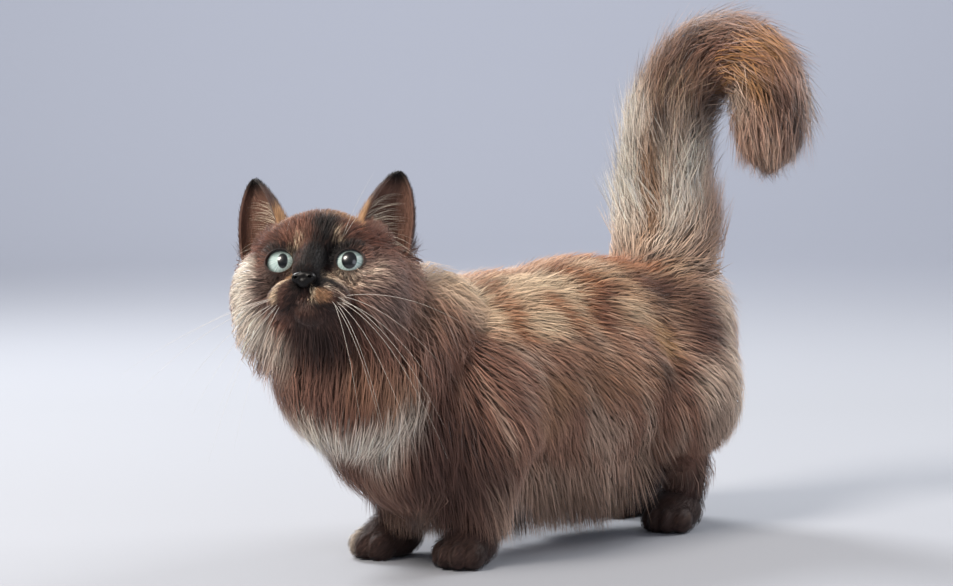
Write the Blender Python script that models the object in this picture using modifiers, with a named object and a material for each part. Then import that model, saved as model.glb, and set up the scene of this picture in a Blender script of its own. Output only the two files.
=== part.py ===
"""A munchkin cat at life size: short legs, semi-long coat, head turned and raised, plumed tail up.

X is the cat's left, -Y is forward and Z is up, in metres. The paws stand on z = 0 while the cat is
modelled, and the last step centres the whole model over the origin. Flesh is a set of overlapping balls
and limbs, melted into one smooth form. Long hair is made as flat, tapered locks that follow the lie of
the coat and are fused to the form that they grow from. Neighbouring parts are cut a thin gap apart.
"""

import math
import random

import bmesh
import bpy
from mathutils import Euler, Matrix, Vector
from mathutils.bvhtree import BVHTree

GAP = 0.0004
# The smaller step aside that locks make for a core which is already parted from its neighbour.
SEAM = 0.6 * GAP
# The room that a part leaves round its neighbour's locks, which thinning moves a little.
LOCK_ROOM = 0.0008
DOWN = Vector((0, 0, -1))
# The locks of this seed were looked at from all sides.
SEED = 5
PARTS, CUTTERS = "munchkin cat", "cutters"

# Depth of the coat's solid core over the skin; the locks reach past it.
BODY_COAT = 0.007
NECK_COAT = 0.007
HEAD_COAT = 0.003
LEG_COAT = 0.003
PAW_COAT = 0.002
TAIL_COAT = 0.009

# A lock is thin and flat: how deep its root sits, how thick it is, and its sections, each a share of
# the way to the tip, of the width and of the height that the lock rises over the core.
ROOT_DEPTH = 0.004
LOCK_THICKNESS = 0.0034
LOCK_SECTIONS = ((0.0, 0.75, 0.0), (0.20, 1.0, 0.52), (0.62, 0.80, 0.82), (1.0, 0.0, 1.0))

# The head is modelled round its own centre, facing -Y, and then placed.
HEAD_CENTRE = Vector((0.001, -0.2013, 0.1806))
HEAD_YAW, HEAD_PITCH, HEAD_ROLL = 36.5, 21.0, -3.5
HEAD = (
    Matrix.Translation(HEAD_CENTRE)
    @ Matrix.Rotation(math.radians(HEAD_YAW), 4, "Z")
    @ Matrix.Rotation(math.radians(-HEAD_PITCH), 4, "X")
    @ Matrix.Rotation(math.radians(HEAD_ROLL), 4, "Y")
)
BODY = Matrix.Identity(4)

EYE_RADIUS = 0.0108
EYE_CENTRE = Vector((0.0213, -0.0262, 0.0035))
EYE_HALF_WIDTH, EYE_HALF_HEIGHT = 0.0090, 0.0076
EYE_SPLAY, EYE_SLANT = 9.0, 8.0
LID = 0.0018
NOSE_CENTRE = Vector((0.0, -0.0548, -0.0140))
PAD_CENTRE = Vector((0.0105, -0.0405, -0.0185))
PAD_RADII = (0.0125, 0.0115, 0.0075)
PAD_DROOP = 22.0
# The lower lip runs from one corner of the mouth to the other, round the chin.
LOWER_LIP = [
    ((-0.0200, -0.0290, -0.0270), 0),
    ((-0.0120, -0.0420, -0.0270), 0),
    ((0.0005, -0.0480, -0.0250), 0),
    ((0.0130, -0.0420, -0.0270), 0),
    ((0.0200, -0.0290, -0.0270), 0),
]
LIP = 0.0022
WHISKER = 0.0004

EAR_BASE = Vector((0.0335, 0.012, 0.024))
EAR_TIP = Vector((0.0455, 0.014, 0.0740))
EAR_HALF_WIDTH, EAR_HALF_DEPTH, EAR_WALL = 0.0195, 0.0125, 0.0022
EAR_TURN = 32.0

# Linear colours; the rest of the coat is brown.
COAT_COLOUR = (0.16, 0.09, 0.06)
COLOURS = {"eye": (0.42, 0.58, 0.55), "nose": (0.01, 0.008, 0.008), "forepaw": (0.04, 0.025, 0.02)}

# Each ball: centre, radii, pitch in degrees about X.
TORSO_BALLS = [
    ((0, -0.050, 0.117), (0.050, 0.090, 0.056), 0),
    ((0, -0.127, 0.100), (0.042, 0.048, 0.046), 0),
    ((0, -0.085, 0.132), (0.032, 0.050, 0.030), 0),
    ((0, 0.015, 0.108), (0.051, 0.085, 0.052), 0),
    ((0, 0.035, 0.135), (0.040, 0.075, 0.042), 0),
    ((0, 0.098, 0.127), (0.046, 0.052, 0.048), 0),
]
TORSO_PAIRS = [
    ((0.033, -0.098, 0.100), (0.024, 0.036, 0.046), 0),
    ((0.030, 0.092, 0.095), (0.027, 0.041, 0.046), 0),
]
NECK_BALLS = [
    ((0, -0.160, 0.137), (0.040, 0.042, 0.043), 0),
    ((0.001, -0.178, 0.160), (0.036, 0.036, 0.036), 0),
]
HEAD_BALLS = [
    ((0, 0.006, 0.009), (0.041, 0.040, 0.034), 0),
    ((0, -0.016, 0.016), (0.028, 0.020, 0.019), 0),
    ((0, -0.033, -0.004), (0.0085, 0.020, 0.0090), 26),
    ((0, -0.026, -0.017), (0.021, 0.020, 0.014), 0),
    ((0.001, -0.0390, -0.0280), (0.0085, 0.0090, 0.0065), 0),
    ((0, 0.004, -0.020), (0.034, 0.034, 0.022), 0),
]
HEAD_PAIRS = [
    ((0.028, -0.001, -0.008), (0.022, 0.028, 0.026), 0),
]

# Tail: points of its bone line with the radius of its flesh.
TAIL_LINE = [
    ((0, 0.100, 0.155), 0.016),
    ((-0.001, 0.117, 0.185), 0.013),
    ((-0.003, 0.118, 0.222), 0.011),
    ((-0.002, 0.117, 0.256), 0.010),
    ((0.003, 0.120, 0.290), 0.0095),
    ((0.018, 0.1305, 0.318), 0.009),
    ((0.042, 0.140, 0.325), 0.0085),
    ((0.064, 0.142, 0.309), 0.008),
    ((0.072, 0.141, 0.281), 0.0075),
    ((0.071, 0.140, 0.257), 0.0055),
]
# The tail is divided at the middle of these segments, by blades that reach this many depths of coat.
TAIL_CUTS = {3: 1.6, 5: 1.8, 7: 1.6}
TAIL_MIDDLES = (2, 4, 6, 8)
# Fineness that the trunk and head are melted at, and the triangles that they are then brought down to.
TRUNK_VOXEL = 0.004
TRUNK_TRIANGLES = 1150
HEAD_VOXEL = 0.0014
HEAD_TRIANGLES = 1750
# Shares of the triangles to try keeping where locks are fused, which takes out slivers at crossings.
KEPT_TRIANGLES = (0.76, 0.77, 0.78, 0.79, 0.80, 0.81, 0.82, 0.84, 0.86, 0.88, 0.90, 0.94)
# Rings of locks on each piece of the tail, counted in segments from its root.
TAIL_RINGS = ((0.8, 1.6, 2.5), (3.5, 4.4), (6.1, 6.8), (7.6, 8.3))
# How often a part's locks are turned and fused again before its faults are left.
FUSING_TRIES = 15
# The least share of its triangles that a part must keep when it is cut, or else the cut has failed.
LEAST_LEFT = 0.6

FORELEG = {
    "left": [
        ((0.036, -0.084, 0.080), 0.019),
        ((0.031, -0.098, 0.048), 0.0145),
        ((0.028, -0.098, 0.018), 0.0125),
    ],
    "right": [
        ((-0.036, -0.088, 0.080), 0.019),
        ((-0.031, -0.108, 0.048), 0.0145),
        ((-0.028, -0.110, 0.018), 0.0125),
    ],
}
HINDLEG = {
    "left": [
        ((0.032, 0.088, 0.085), 0.025),
        ((0.031, 0.106, 0.048), 0.0150),
        ((0.030, 0.098, 0.016), 0.0125),
    ],
    "right": [
        ((-0.032, 0.108, 0.085), 0.025),
        ((-0.031, 0.134, 0.048), 0.0150),
        ((-0.030, 0.127, 0.016), 0.0125),
    ],
}
# How far each toe lies across and forward of the wrist.
PAW_TOES = ((-0.0115, -0.0195), (-0.0040, -0.0245), (0.0040, -0.0245), (0.0115, -0.0195))
# Height at which a leg is parted from its paw.
WRIST = 0.024
# Height at which a leg is cut off, before the body's form is taken out of it.
LEG_TOP = 0.062

# The head is parted from the neck by this plane behind the jaw, in the head's own frame.
JAW_CUT = HEAD @ Vector((0, 0.020, -0.022))
JAW_AXIS = HEAD.to_3x3() @ Vector((0, -0.72, 0.69)).normalized()
# The neck is parted from the torso by this plane, and its normal points to the head.
NECK_CUT = Vector((0, -0.140, 0.134))
NECK_AXIS = Vector((0, -0.55, 0.835)).normalized()


def clear_scene():
    for thing in list(bpy.data.objects):
        bpy.data.objects.remove(thing, do_unlink=True)


def collection_named(name):
    found = bpy.data.collections.get(name)
    if not found:
        found = bpy.data.collections.new(name)
        bpy.context.scene.collection.children.link(found)
    return found


def evaluated_mesh(thing):
    """The mesh that the modifiers of an object make."""
    graph = bpy.context.evaluated_depsgraph_get()
    graph.update()
    return bpy.data.meshes.new_from_object(thing.evaluated_get(graph), depsgraph=graph)


def apply_all(thing):
    mesh = evaluated_mesh(thing)
    thing.modifiers.clear()
    thing.data = mesh
    return thing


def new_object(name, mesh):
    thing = bpy.data.objects.new(name, mesh)
    collection_named(PARTS).objects.link(thing)
    return thing


def object_from(name, form):
    """An object from a bmesh, which is then freed."""
    mesh = bpy.data.meshes.new(name)
    form.to_mesh(mesh)
    form.free()
    return new_object(name, mesh)


def ball(centre, radii, pitch=0.0, place=BODY, grow=0.0, rings=16):
    """An ellipsoid; grow adds the same depth to each radius."""
    form = bmesh.new()
    bmesh.ops.create_uvsphere(form, u_segments=2 * rings, v_segments=rings, radius=1.0)
    size = Matrix.Diagonal(Vector([r + grow for r in radii] + [1.0]))
    turn = Matrix.Rotation(math.radians(pitch), 4, "X")
    form.transform(place @ Matrix.Translation(Vector(centre)) @ turn @ size)
    return object_from("ball", form)


def both_sides(forms):
    """The forms of a mirrored pair, left and right."""
    return forms + [((-centre[0], *centre[1:]), radii, pitch) for centre, radii, pitch in forms]


def limb(line, place=BODY, grow=0.0, roundness=4, steps=8):
    """A round limb along a line of (point, radius), closed at both ends."""
    curve = bpy.data.curves.new("limb", "CURVE")
    curve.dimensions = "3D"
    curve.bevel_depth = 1.0
    curve.bevel_resolution = roundness
    curve.resolution_u = steps
    curve.use_fill_caps = True
    spline = curve.splines.new("NURBS")
    spline.points.add(len(line) - 1)
    for point, (centre, radius) in zip(spline.points, line):
        point.co = (*(place @ Vector(centre)), 1.0)
        point.radius = radius + grow
    spline.use_endpoint_u = True
    spline.order_u = 3
    guide = new_object("limb", curve)
    form = bmesh.new()
    form.from_mesh(evaluated_mesh(guide))
    bpy.data.objects.remove(guide, do_unlink=True)
    bmesh.ops.remove_doubles(form, verts=form.verts, dist=1e-6)
    return object_from("limb", form)


def rounded_limb(line, place=BODY, grow=0.0):
    ends = [ball(line[i][0], (line[i][1],) * 3, 0, place, grow) for i in (0, -1)]
    return [limb(line, place, grow), *ends]


def join(name, things):
    """One mesh object from several, each of which stays a closed body."""
    form = bmesh.new()
    for thing in things:
        form.from_mesh(thing.data)
        bpy.data.objects.remove(thing, do_unlink=True)
    return object_from(name, form)


def melt(name, things, voxel, rounds, triangles=0):
    """Overlapping forms become one smooth skin, thinned to a number of triangles."""
    skin = join(name, things)
    remesh = skin.modifiers.new("melt", "REMESH")
    remesh.mode = "VOXEL"
    remesh.voxel_size = voxel
    smooth = skin.modifiers.new("smooth", "SMOOTH")
    smooth.factor = 0.5
    smooth.iterations = rounds
    skin.modifiers.new("triangles", "TRIANGULATE")
    apply_all(skin)
    if triangles:
        fewer = skin.modifiers.new("fewer", "DECIMATE")
        fewer.ratio = min(1.0, triangles / len(skin.data.polygons))
        apply_all(skin)
    return skin


def copy_of(thing, name):
    return new_object(name, thing.data.copy())


def slice_away(thing, point, normal):
    """Cuts off what lies beyond a plane, on the side that its normal points to, and closes the cut."""
    form = bmesh.new()
    form.from_mesh(thing.data)
    cut = bmesh.ops.bisect_plane(
        form,
        geom=form.verts[:] + form.edges[:] + form.faces[:],
        plane_co=point,
        plane_no=normal,
        clear_outer=True,
        dist=1e-7,
    )
    edges = [part for part in cut["geom_cut"] if isinstance(part, bmesh.types.BMEdge)]
    bmesh.ops.holes_fill(form, edges=edges, sides=0)
    bmesh.ops.triangulate(form, faces=form.faces[:])
    form.to_mesh(thing.data)
    form.free()
    return keep_largest(thing)


def paint(thing, colour):
    """Gives an object its own plain coat colour."""
    material = bpy.data.materials.new(thing.name)
    material.use_nodes = True
    shader = material.node_tree.nodes["Principled BSDF"]
    shader.inputs["Base Color"].default_value = (*colour, 1)
    shader.inputs["Roughness"].default_value = 0.3 if thing.name.startswith("eye") else 0.8
    thing.data.materials.clear()
    thing.data.materials.append(material)


def part_at(thing, names, point, normal):
    """Divides an object by a thin cut; the first name is the half that the normal points to."""
    far = copy_of(thing, names[0])
    slice_away(far, point + normal * GAP / 2, -normal)
    slice_away(thing, point - normal * GAP / 2, normal)
    thing.name = names[1]
    return far, thing


def swollen(thing, by=GAP):
    """A cutter that stands proud of an object all round."""
    form = bmesh.new()
    form.from_mesh(thing.data)
    form.normal_update()
    shifts = [vert.normal * by * vert.calc_shell_factor() for vert in form.verts]
    for vert, shift in zip(form.verts, shifts):
        vert.co += shift
    return object_from("cutter", form)


def combine(thing, others, operation, solver="EXACT", keep=True):
    """Boolean of an object with several others, which are then removed."""
    cutters = collection_named(CUTTERS)
    for other in others:
        collection_named(PARTS).objects.unlink(other)
        cutters.objects.link(other)
    boolean = thing.modifiers.new(operation.lower(), "BOOLEAN")
    boolean.operation = operation
    boolean.operand_type = "COLLECTION"
    boolean.collection = cutters
    boolean.solver = solver
    apply_all(thing)
    for other in list(cutters.objects):
        bpy.data.objects.remove(other, do_unlink=True)
    return keep_largest(thing) if keep else thing


def shells_of(form):
    """The separate closed surfaces of a bmesh, as sets of its points."""
    unseen = set(form.verts)
    shells = []
    while unseen:
        seed = unseen.pop()
        shell, front = {seed}, [seed]
        while front:
            for edge in front.pop().link_edges:
                for vert in edge.verts:
                    if vert not in shell:
                        shell.add(vert)
                        front.append(vert)
        unseen -= shell
        shells.append(shell)
    return shells


def keep_one(thing, measure):
    """Drops every closed surface but the one with the highest measure, and leaves triangles only."""
    form = bmesh.new()
    form.from_mesh(thing.data)
    if not form.verts:
        return thing
    best = max(shells_of(form), key=measure)
    bmesh.ops.delete(form, geom=[v for v in form.verts if v not in best], context="VERTS")
    bmesh.ops.dissolve_degenerate(form, dist=1e-6, edges=form.edges[:])
    bmesh.ops.triangulate(form, faces=form.faces[:])
    form.to_mesh(thing.data)
    form.free()
    return thing


def keep_largest(thing):
    return keep_one(thing, len)


def middle_of(shell):
    return sum((vert.co for vert in shell), Vector()) / len(shell)


def keep_nearest(thing, point):
    """Keeps the closed surface whose middle is nearest to a point."""
    return keep_one(thing, lambda shell: -(middle_of(shell) - point).length)


def side_name(side):
    return "left" if side > 0 else "right"


def on_side(side, point):
    return Vector((side * point[0], point[1], point[2]))


def eye_turn(side):
    """The way an eye looks: a little outwards, with its outer corner raised."""
    return (
        Matrix.Rotation(math.radians(side * EYE_SPLAY), 4, "Z")
        @ Matrix.Rotation(math.radians(-side * EYE_SLANT), 4, "Y")
    )


def torso_forms(grow):
    return [ball(*form, BODY, grow) for form in TORSO_BALLS + both_sides(TORSO_PAIRS)]


def neck_forms(grow):
    return [ball(*form, BODY, grow) for form in NECK_BALLS]


def head_forms(grow):
    forms = [ball(*form, HEAD, grow) for form in HEAD_BALLS + both_sides(HEAD_PAIRS)]
    for side in (1, -1):
        forms.append(ball(on_side(side, EYE_CENTRE), (EYE_RADIUS + LID,) * 3, 0, HEAD))
    return [*forms, limb(LOWER_LIP, HEAD, LIP)]


def paw_forms(side, line, grow):
    """A round paw with four toes, in front of the end of a leg."""
    x, y, z = line[-1][0]
    out = math.radians(14 * side)
    place = Matrix.Translation((x, y, 0)) @ Matrix.Rotation(out, 4, "Z")
    forms = [ball((0, -0.006, 0.013), (0.0155, 0.020, 0.013), 0, place, grow)]
    for across, forward in PAW_TOES:
        forms.append(ball((across, forward, 0.0085), (0.0052, 0.0092, 0.0080), 0, place, grow))
    return forms


def make_eye(side):
    eye = ball(on_side(side, EYE_CENTRE), (EYE_RADIUS,) * 3, 0, HEAD, 0, 8)
    eye.name = "eye_" + side_name(side)
    return eye


def eye_opening(side):
    """What is cut from the head for an eye: its socket, and the gap between its lids."""
    place = HEAD @ Matrix.Translation(on_side(side, EYE_CENTRE)) @ eye_turn(side)
    socket = ball((0, 0, 0), (EYE_RADIUS + GAP,) * 3, 0, place, 0, 8)
    gap = ball((0, -0.014, 0), (EYE_HALF_WIDTH, 0.014, EYE_HALF_HEIGHT), 0, place, 0, 7)
    return [socket, gap]


def make_nose():
    """Nose leather with its two nostrils."""
    wings = [ball((side * 0.0040, 0, 0.0004), (0.0036, 0.0046, 0.0040), 0) for side in (1, -1)]
    bridge = ball((0, 0.001, 0.0014), (0.0062, 0.0050, 0.0042), 0)
    tip = ball((0, -0.0008, -0.0030), (0.0036, 0.0040, 0.0034), 0)
    nose = melt("nose", [*wings, bridge, tip], 0.0006, 3, 170)
    nostrils = [
        ball((side * 0.0042, -0.0046, -0.0004), (0.0014, 0.0024, 0.0010), 0, rings=4)
        for side in (1, -1)
    ]
    combine(nose, nostrils, "DIFFERENCE")
    nose.data.transform(HEAD @ Matrix.Translation(NOSE_CENTRE))
    return nose


def make_pad(side):
    """A whisker pad, which meets its fellow at the cleft of the lip."""
    droop = Matrix.Rotation(math.radians(side * PAD_DROOP), 4, "Y")
    place = HEAD @ Matrix.Translation(on_side(side, PAD_CENTRE)) @ droop
    pad = ball((0, 0, 0), PAD_RADII, 0, place, HEAD_COAT, 7)
    pad.name = "whisker_pad_" + side_name(side)
    inwards = HEAD.to_3x3() @ Vector((-side, 0, 0))
    slice_away(pad, HEAD_CENTRE - inwards * GAP / 2, inwards)
    return pad


def make_whisker(side, root, way, length):
    """One whisker, which leaves its pad straight and bows down and back to its tip."""
    start = on_side(side, root)
    ahead = on_side(side, way).normalized() * length
    line = [
        (start - ahead * 0.08, WHISKER),
        (start + ahead * 0.35 + Vector((0, 0, 0.09 * length)), WHISKER),
        (start + ahead * 0.75 + Vector((0, 0, 0.06 * length)), WHISKER * 0.8),
        (start + ahead, WHISKER * 0.6),
    ]
    return limb(line, HEAD, 0, 0, 2)


def whiskers(side):
    """Two rows that fan out from back to front of the pad."""
    pieces = []
    for row, count in ((0, 3), (1, 3)):
        for step in range(count):
            share = step / (count - 1)
            forward = -0.006 - 0.004 * share
            root = PAD_CENTRE + Vector((0.0115 - 0.006 * share, forward, 0.003 - 0.006 * row))
            way = Vector((1.0 - 0.5 * share, -0.32 - 0.10 * share, -0.35 - 0.65 * share - 0.30 * row))
            length = 0.078 - 0.022 * share
            pieces.append(make_whisker(side, root, way, length))
    return pieces


def make_ear(side):
    """A cupped ear: a curved, pointed shell that opens forwards and outwards."""
    rows, columns = 6, 8
    form = bmesh.new()
    grid = []
    for row in range(rows + 1):
        t = row / rows
        centre = EAR_BASE.lerp(EAR_TIP, t)
        narrow = (1 - t**1.7) ** 0.8
        line = []
        for column in range(columns + 1):
            angle = math.radians(-28 + 236 * column / columns)
            across = Vector((math.cos(angle) * EAR_HALF_WIDTH, math.sin(angle) * EAR_HALF_DEPTH, 0))
            across *= narrow
            across.rotate(Euler((0, 0, math.radians(EAR_TURN))))
            line.append(form.verts.new(HEAD @ on_side(side, centre + across)))
        grid.append(line)
    for low, high in zip(grid, grid[1:]):
        for a, b, c, d in zip(low, low[1:], high[1:], high):
            form.faces.new((a, b, c, d) if side > 0 else (d, c, b, a))
    bmesh.ops.remove_doubles(form, verts=form.verts, dist=0.0003)
    shell = object_from("ear_" + side_name(side), form)
    wall = shell.modifiers.new("wall", "SOLIDIFY")
    wall.thickness = EAR_WALL
    wall.offset = 0
    return keep_largest(apply_all(shell))


def tail_middle(index):
    """Middle, direction and radius of a segment of the tail's line, where the curve touches it."""
    (start, thick), (end, thin) = TAIL_LINE[index], TAIL_LINE[index + 1]
    start, end = Vector(start), Vector(end)
    return start.lerp(end, 0.5), (end - start).normalized(), (thick + thin) / 2


def make_leg(name, side, line, body):
    """A leg and its paw, cut clear of the body and parted at the wrist or hock, flat under the paw."""
    forms = rounded_limb(line, BODY, LEG_COAT) + paw_forms(side, line, PAW_COAT)
    leg = melt(name, forms, 0.0018, 3, 580)
    slice_away(leg, Vector((0, 0, 0)), DOWN)
    slice_away(leg, Vector((0, 0, LEG_TOP)), -DOWN)
    combine(leg, [swollen(body, 2 * GAP)], "DIFFERENCE")
    upper = f"{name}leg_{side_name(side)}"
    lower = f"{name}paw_{side_name(side)}"
    return part_at(leg, (upper, lower), Vector((0, 0, WRIST)), -DOWN)


def saw_blade(index, reach):
    """A thin disc across the tail."""
    point, along, radius = tail_middle(index)
    form = bmesh.new()
    wide = radius + reach * TAIL_COAT
    bmesh.ops.create_cone(form, cap_ends=True, segments=24, radius1=wide, radius2=wide, depth=GAP)
    form.transform(Matrix.Translation(point) @ along.to_track_quat("Z", "Y").to_matrix().to_4x4())
    return object_from("blade", form)


def make_tail(body):
    tail = melt("tail", rounded_limb(TAIL_LINE, BODY, TAIL_COAT), 0.003, 3, 520)
    combine(tail, [swollen(body, 2 * GAP)], "DIFFERENCE")
    combine(tail, [saw_blade(*cut) for cut in TAIL_CUTS.items()], "DIFFERENCE", keep=False)
    pieces = []
    for name, index in zip(("tail_root", "tail_shaft", "tail_bend", "tail_tip"), TAIL_MIDDLES):
        piece = copy_of(tail, name)
        keep_nearest(piece, tail_middle(index)[0])
        pieces.append(piece)
    bpy.data.objects.remove(tail, do_unlink=True)
    return pieces


def centre_model(things):
    """Moves the model so that its box is centred over the origin, with the paws on z = 0."""
    corners = [vert.co for thing in things for vert in thing.data.vertices]
    low = [min(corner[k] for corner in corners) for k in range(3)]
    high = [max(corner[k] for corner in corners) for k in range(3)]
    shift = Vector((-(low[0] + high[0]) / 2, -(low[1] + high[1]) / 2, -low[2]))
    for thing in things:
        thing.data.transform(Matrix.Translation(shift))
    bpy.context.scene["centred"] = shift


def coat_surface():
    """The whole coat's core as one surface, which the locks follow from part to part."""
    forms = torso_forms(BODY_COAT) + neck_forms(NECK_COAT) + head_forms(HEAD_COAT)
    forms += rounded_limb(TAIL_LINE, BODY, TAIL_COAT)
    for line in (*FORELEG.values(), *HINDLEG.values()):
        forms += rounded_limb(line, BODY, LEG_COAT)
    skin = melt("surface", forms, 0.003, 6)
    surface = BVHTree.FromObject(skin, bpy.context.evaluated_depsgraph_get())
    bpy.data.objects.remove(skin, do_unlink=True)
    return surface


def share_of(value, start, end):
    """How far a value lies from start to end, from 0 to 1."""
    return min(1.0, max(0.0, (value - start) / (end - start)))


def body_lie(point):
    """Back along the spine, steeper down the flank, and straight down at chest and rump."""
    low = share_of(point.z, 0.180, 0.085)
    front = share_of(point.y, -0.110, -0.165)
    rear = share_of(point.y, 0.095, 0.150)
    return Vector((0, 1 - front - 0.8 * rear, -0.1 - 0.8 * low - 1.5 * max(front, rear))).normalized()


def fringe_lie(point):
    """Down, a little back and away from the middle."""
    return Vector((3 * point.x, 0.30, -1)).normalized()


def neck_lie(point):
    """Down the throat, and down and back at the sides."""
    front = share_of(point.y, -0.130, -0.190)
    return Vector((0, 0.8 - front, -0.9)).normalized()


def ruff_lie(point):
    """Away from the nose over the cheek, and down."""
    return (point - HEAD @ NOSE_CENTRE).normalized() + 0.5 * DOWN


def tail_lie(point):
    """Along the tail, drooping a little."""
    way = Vector()
    for index in range(len(TAIL_LINE) - 1):
        middle, along = tail_middle(index)[:2]
        way += along * math.exp(-(((middle - point).length / 0.018) ** 2))
    return way.normalized() + 0.12 * DOWN


def lock_path(surface, lock):
    """Points of a lock from root to tip, each with its direction and the way that it faces."""
    place, facing = surface.find_nearest(lock["root"])[:2]
    hang = lock["hang"]
    path = []
    before = 0.0
    for share, _, rise in LOCK_SECTIONS:
        for _ in range(2):
            way = lock["lie"](place).lerp(DOWN, hang * share)
            way = (way - facing * way.dot(facing) * (1 - hang)).normalized()
            way.rotate(Matrix.Rotation(lock["turn"], 3, facing))
            ahead = place + way * lock["length"] * (share - before) / 2
            near, turned = surface.find_nearest(ahead)[:2]
            place = near.lerp(ahead, hang)
            facing = facing.lerp(turned, 0.7 * (1 - hang)).normalized()
        before = share
        height = -ROOT_DEPTH + (lock["lift"] + ROOT_DEPTH) * rise
        path.append((place + facing * height, way, facing))
    return path


def make_lock(surface, lock, grow=0.0):
    """A flat lock with a ridge along it and a pointed tip; grow makes it stouter all round."""
    path = lock_path(surface, lock)
    form = bmesh.new()
    rings = []
    across = Vector((0, 0.2, 0))
    outward = 0
    for (place, way, facing), (_, width, _) in list(zip(path, LOCK_SECTIONS))[:-1]:
        turned = way.cross(facing)
        across = 0.6 * across + turned * (1 if turned.dot(across) > 0 else -1)
        across = (across - way * across.dot(way)).normalized()
        outward = outward or (1 if across.cross(way).dot(facing) > 0 else -1)
        wide = across * (lock["width"] * width / 2 + grow)
        deep = across.cross(way) * LOCK_THICKNESS * width * outward
        under = -grow * deep.normalized()
        shifts = (wide + under, deep - under, under - wide)
        rings.append([form.verts.new(place + shift) for shift in shifts])
    tip = form.verts.new(path[-1][0] + path[-1][1] * 3 * grow)
    form.faces.new(rings[0])
    for low, high in zip(rings, rings[1:]):
        for i in range(3):
            form.faces.new((low[i], low[i - 1], high[i - 1], high[i]))
    for i in range(3):
        form.faces.new((rings[-1][i], rings[-1][i - 1], tip))
    bmesh.ops.triangulate(form, faces=form.faces[:])
    bmesh.ops.recalc_face_normals(form, faces=form.faces[:])
    return object_from("lock", form)


def random_turn():
    """A small angle by which a lock strays from the lie of the coat."""
    return math.radians(random.uniform(-9, 9))


def lock_at(root, lie, length, width, lift, hang=0.0):
    """A lock's sizes, varied a little as real ones are."""
    return {
        "root": root,
        "lie": lie,
        "length": length * random.uniform(0.88, 1.14),
        "width": width * random.uniform(0.88, 1.12),
        "lift": lift * random.uniform(0.8, 1.15),
        "turn": random_turn(),
        "hang": hang,
    }


def seen_from(surface, centre, heading, rise):
    """Where a ray from inside meets the coat; heading 0 is forward and 90 is the cat's left."""
    heading, rise = math.radians(heading), math.radians(rise)
    flat = Vector((math.sin(heading), -math.cos(heading), 0)) * math.cos(rise)
    return surface.ray_cast(Vector(centre), flat + Vector((0, 0, math.sin(rise))))[0]


def ruff_locks(surface):
    """Cheek ruff, in two rows from below each ear round under the chin."""
    locks = []
    centre = HEAD @ Vector((0, 0.004, -0.006))
    for row, (polar, length) in enumerate(((70, 0.028), (94, 0.030))):
        for step in range(9):
            around = math.radians(-4 - 172 * (step + 0.5 * (row % 2)) / 8.5)
            polar_angle = math.radians(polar)
            way = Vector((math.cos(around), 0, math.sin(around))) * math.sin(polar_angle)
            way.y = -math.cos(polar_angle)
            root = surface.ray_cast(centre, HEAD.to_3x3() @ way)[0]
            locks.append(lock_at(root, ruff_lie, length, 0.016, 0.010, 0.1))
    return locks


def neck_locks(surface):
    """The collar round the throat, and the nape behind the ears."""
    locks = []
    for heading in (135, 180, 225):
        root = seen_from(surface, (0, -0.165, 0.150), heading, 18)
        locks.append(lock_at(root, body_lie, 0.040, 0.022, 0.008))
    for row, rise in enumerate((-22, -40)):
        for step in range(-4, 5):
            heading = 33 * (step + 0.5 * row)
            root = seen_from(surface, (0, -0.165, 0.150), heading, rise + 0.12 * abs(heading))
            locks.append(lock_at(root, neck_lie, 0.046, 0.022, 0.012, 0.2))
    return locks


def flank_locks(surface):
    """Rows round the barrel, from the shoulders to the rump."""
    locks = []
    for row in range(9):
        y = -0.143 + 0.031 * row
        for side in (1, -1):
            for step in range(4):
                around = math.radians(13 + 31 * (step + 0.5 * (row % 2)))
                way = Vector((side * math.sin(around), 0, math.cos(around)))
                root = surface.ray_cast(Vector((0, y, 0.115)), way)[0]
                if (root - NECK_CUT).dot(NECK_AXIS) < 0.002:
                    locks.append(lock_at(root, body_lie, 0.056, 0.027, 0.008))
    return locks


def chest_locks(surface):
    locks = []
    for row, rise in enumerate((18, -6, -32)):
        for step in range(-2, 3):
            heading = 30 * (step + 0.5 * (row % 2))
            root = seen_from(surface, (0, -0.110, 0.095), heading, rise)
            locks.append(lock_at(root, body_lie, 0.044, 0.022, 0.014, 0.35))
    return locks


def belly_locks(surface):
    """The fringe that hangs between the legs."""
    locks = []
    for row in range(5):
        for side in (-1, 0, 1):
            y = -0.068 + 0.027 * row + 0.009 * (side + 1)
            root = surface.ray_cast(Vector((0, y, 0.110)), Vector((side * 0.62, 0, -1)))[0]
            locks.append(lock_at(root, fringe_lie, 0.046, 0.025, 0.003, 0.9))
    return locks


def rump_locks(surface):
    """Rump and breeches, down to the hocks."""
    locks = []
    for row, rise in enumerate((30, 4, -20)):
        for step in range(-2, 3):
            heading = 180 + 32 * (step + 0.5 * (row % 2))
            root = seen_from(surface, (0, 0.085, 0.115), heading, rise)
            if (root - Vector(TAIL_LINE[1][0])).length > 0.040:
                locks.append(lock_at(root, body_lie, 0.042, 0.022, 0.010, 0.3))
    return locks


def tail_locks(surface):
    """The plume, ring by ring; each piece of the tail has its own list."""
    pieces = []
    for rings in TAIL_RINGS:
        locks = []
        for row, place in enumerate(rings):
            index, part = divmod(place, 1)
            (start, _), (end, _) = TAIL_LINE[int(index)], TAIL_LINE[int(index) + 1]
            centre = Vector(start).lerp(Vector(end), part)
            along = tail_middle(int(index))[1]
            for step in range(6):
                way = along.orthogonal().normalized()
                way.rotate(Matrix.Rotation(math.radians(60 * (step + 0.5 * (row % 2))), 3, along))
                root = surface.ray_cast(centre, way)[0]
                length = 0.057 - 0.0025 * place
                locks.append(lock_at(root, tail_lie, length, 0.022, 0.015))
        pieces.append(sound(surface, locks))
    return pieces


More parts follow.
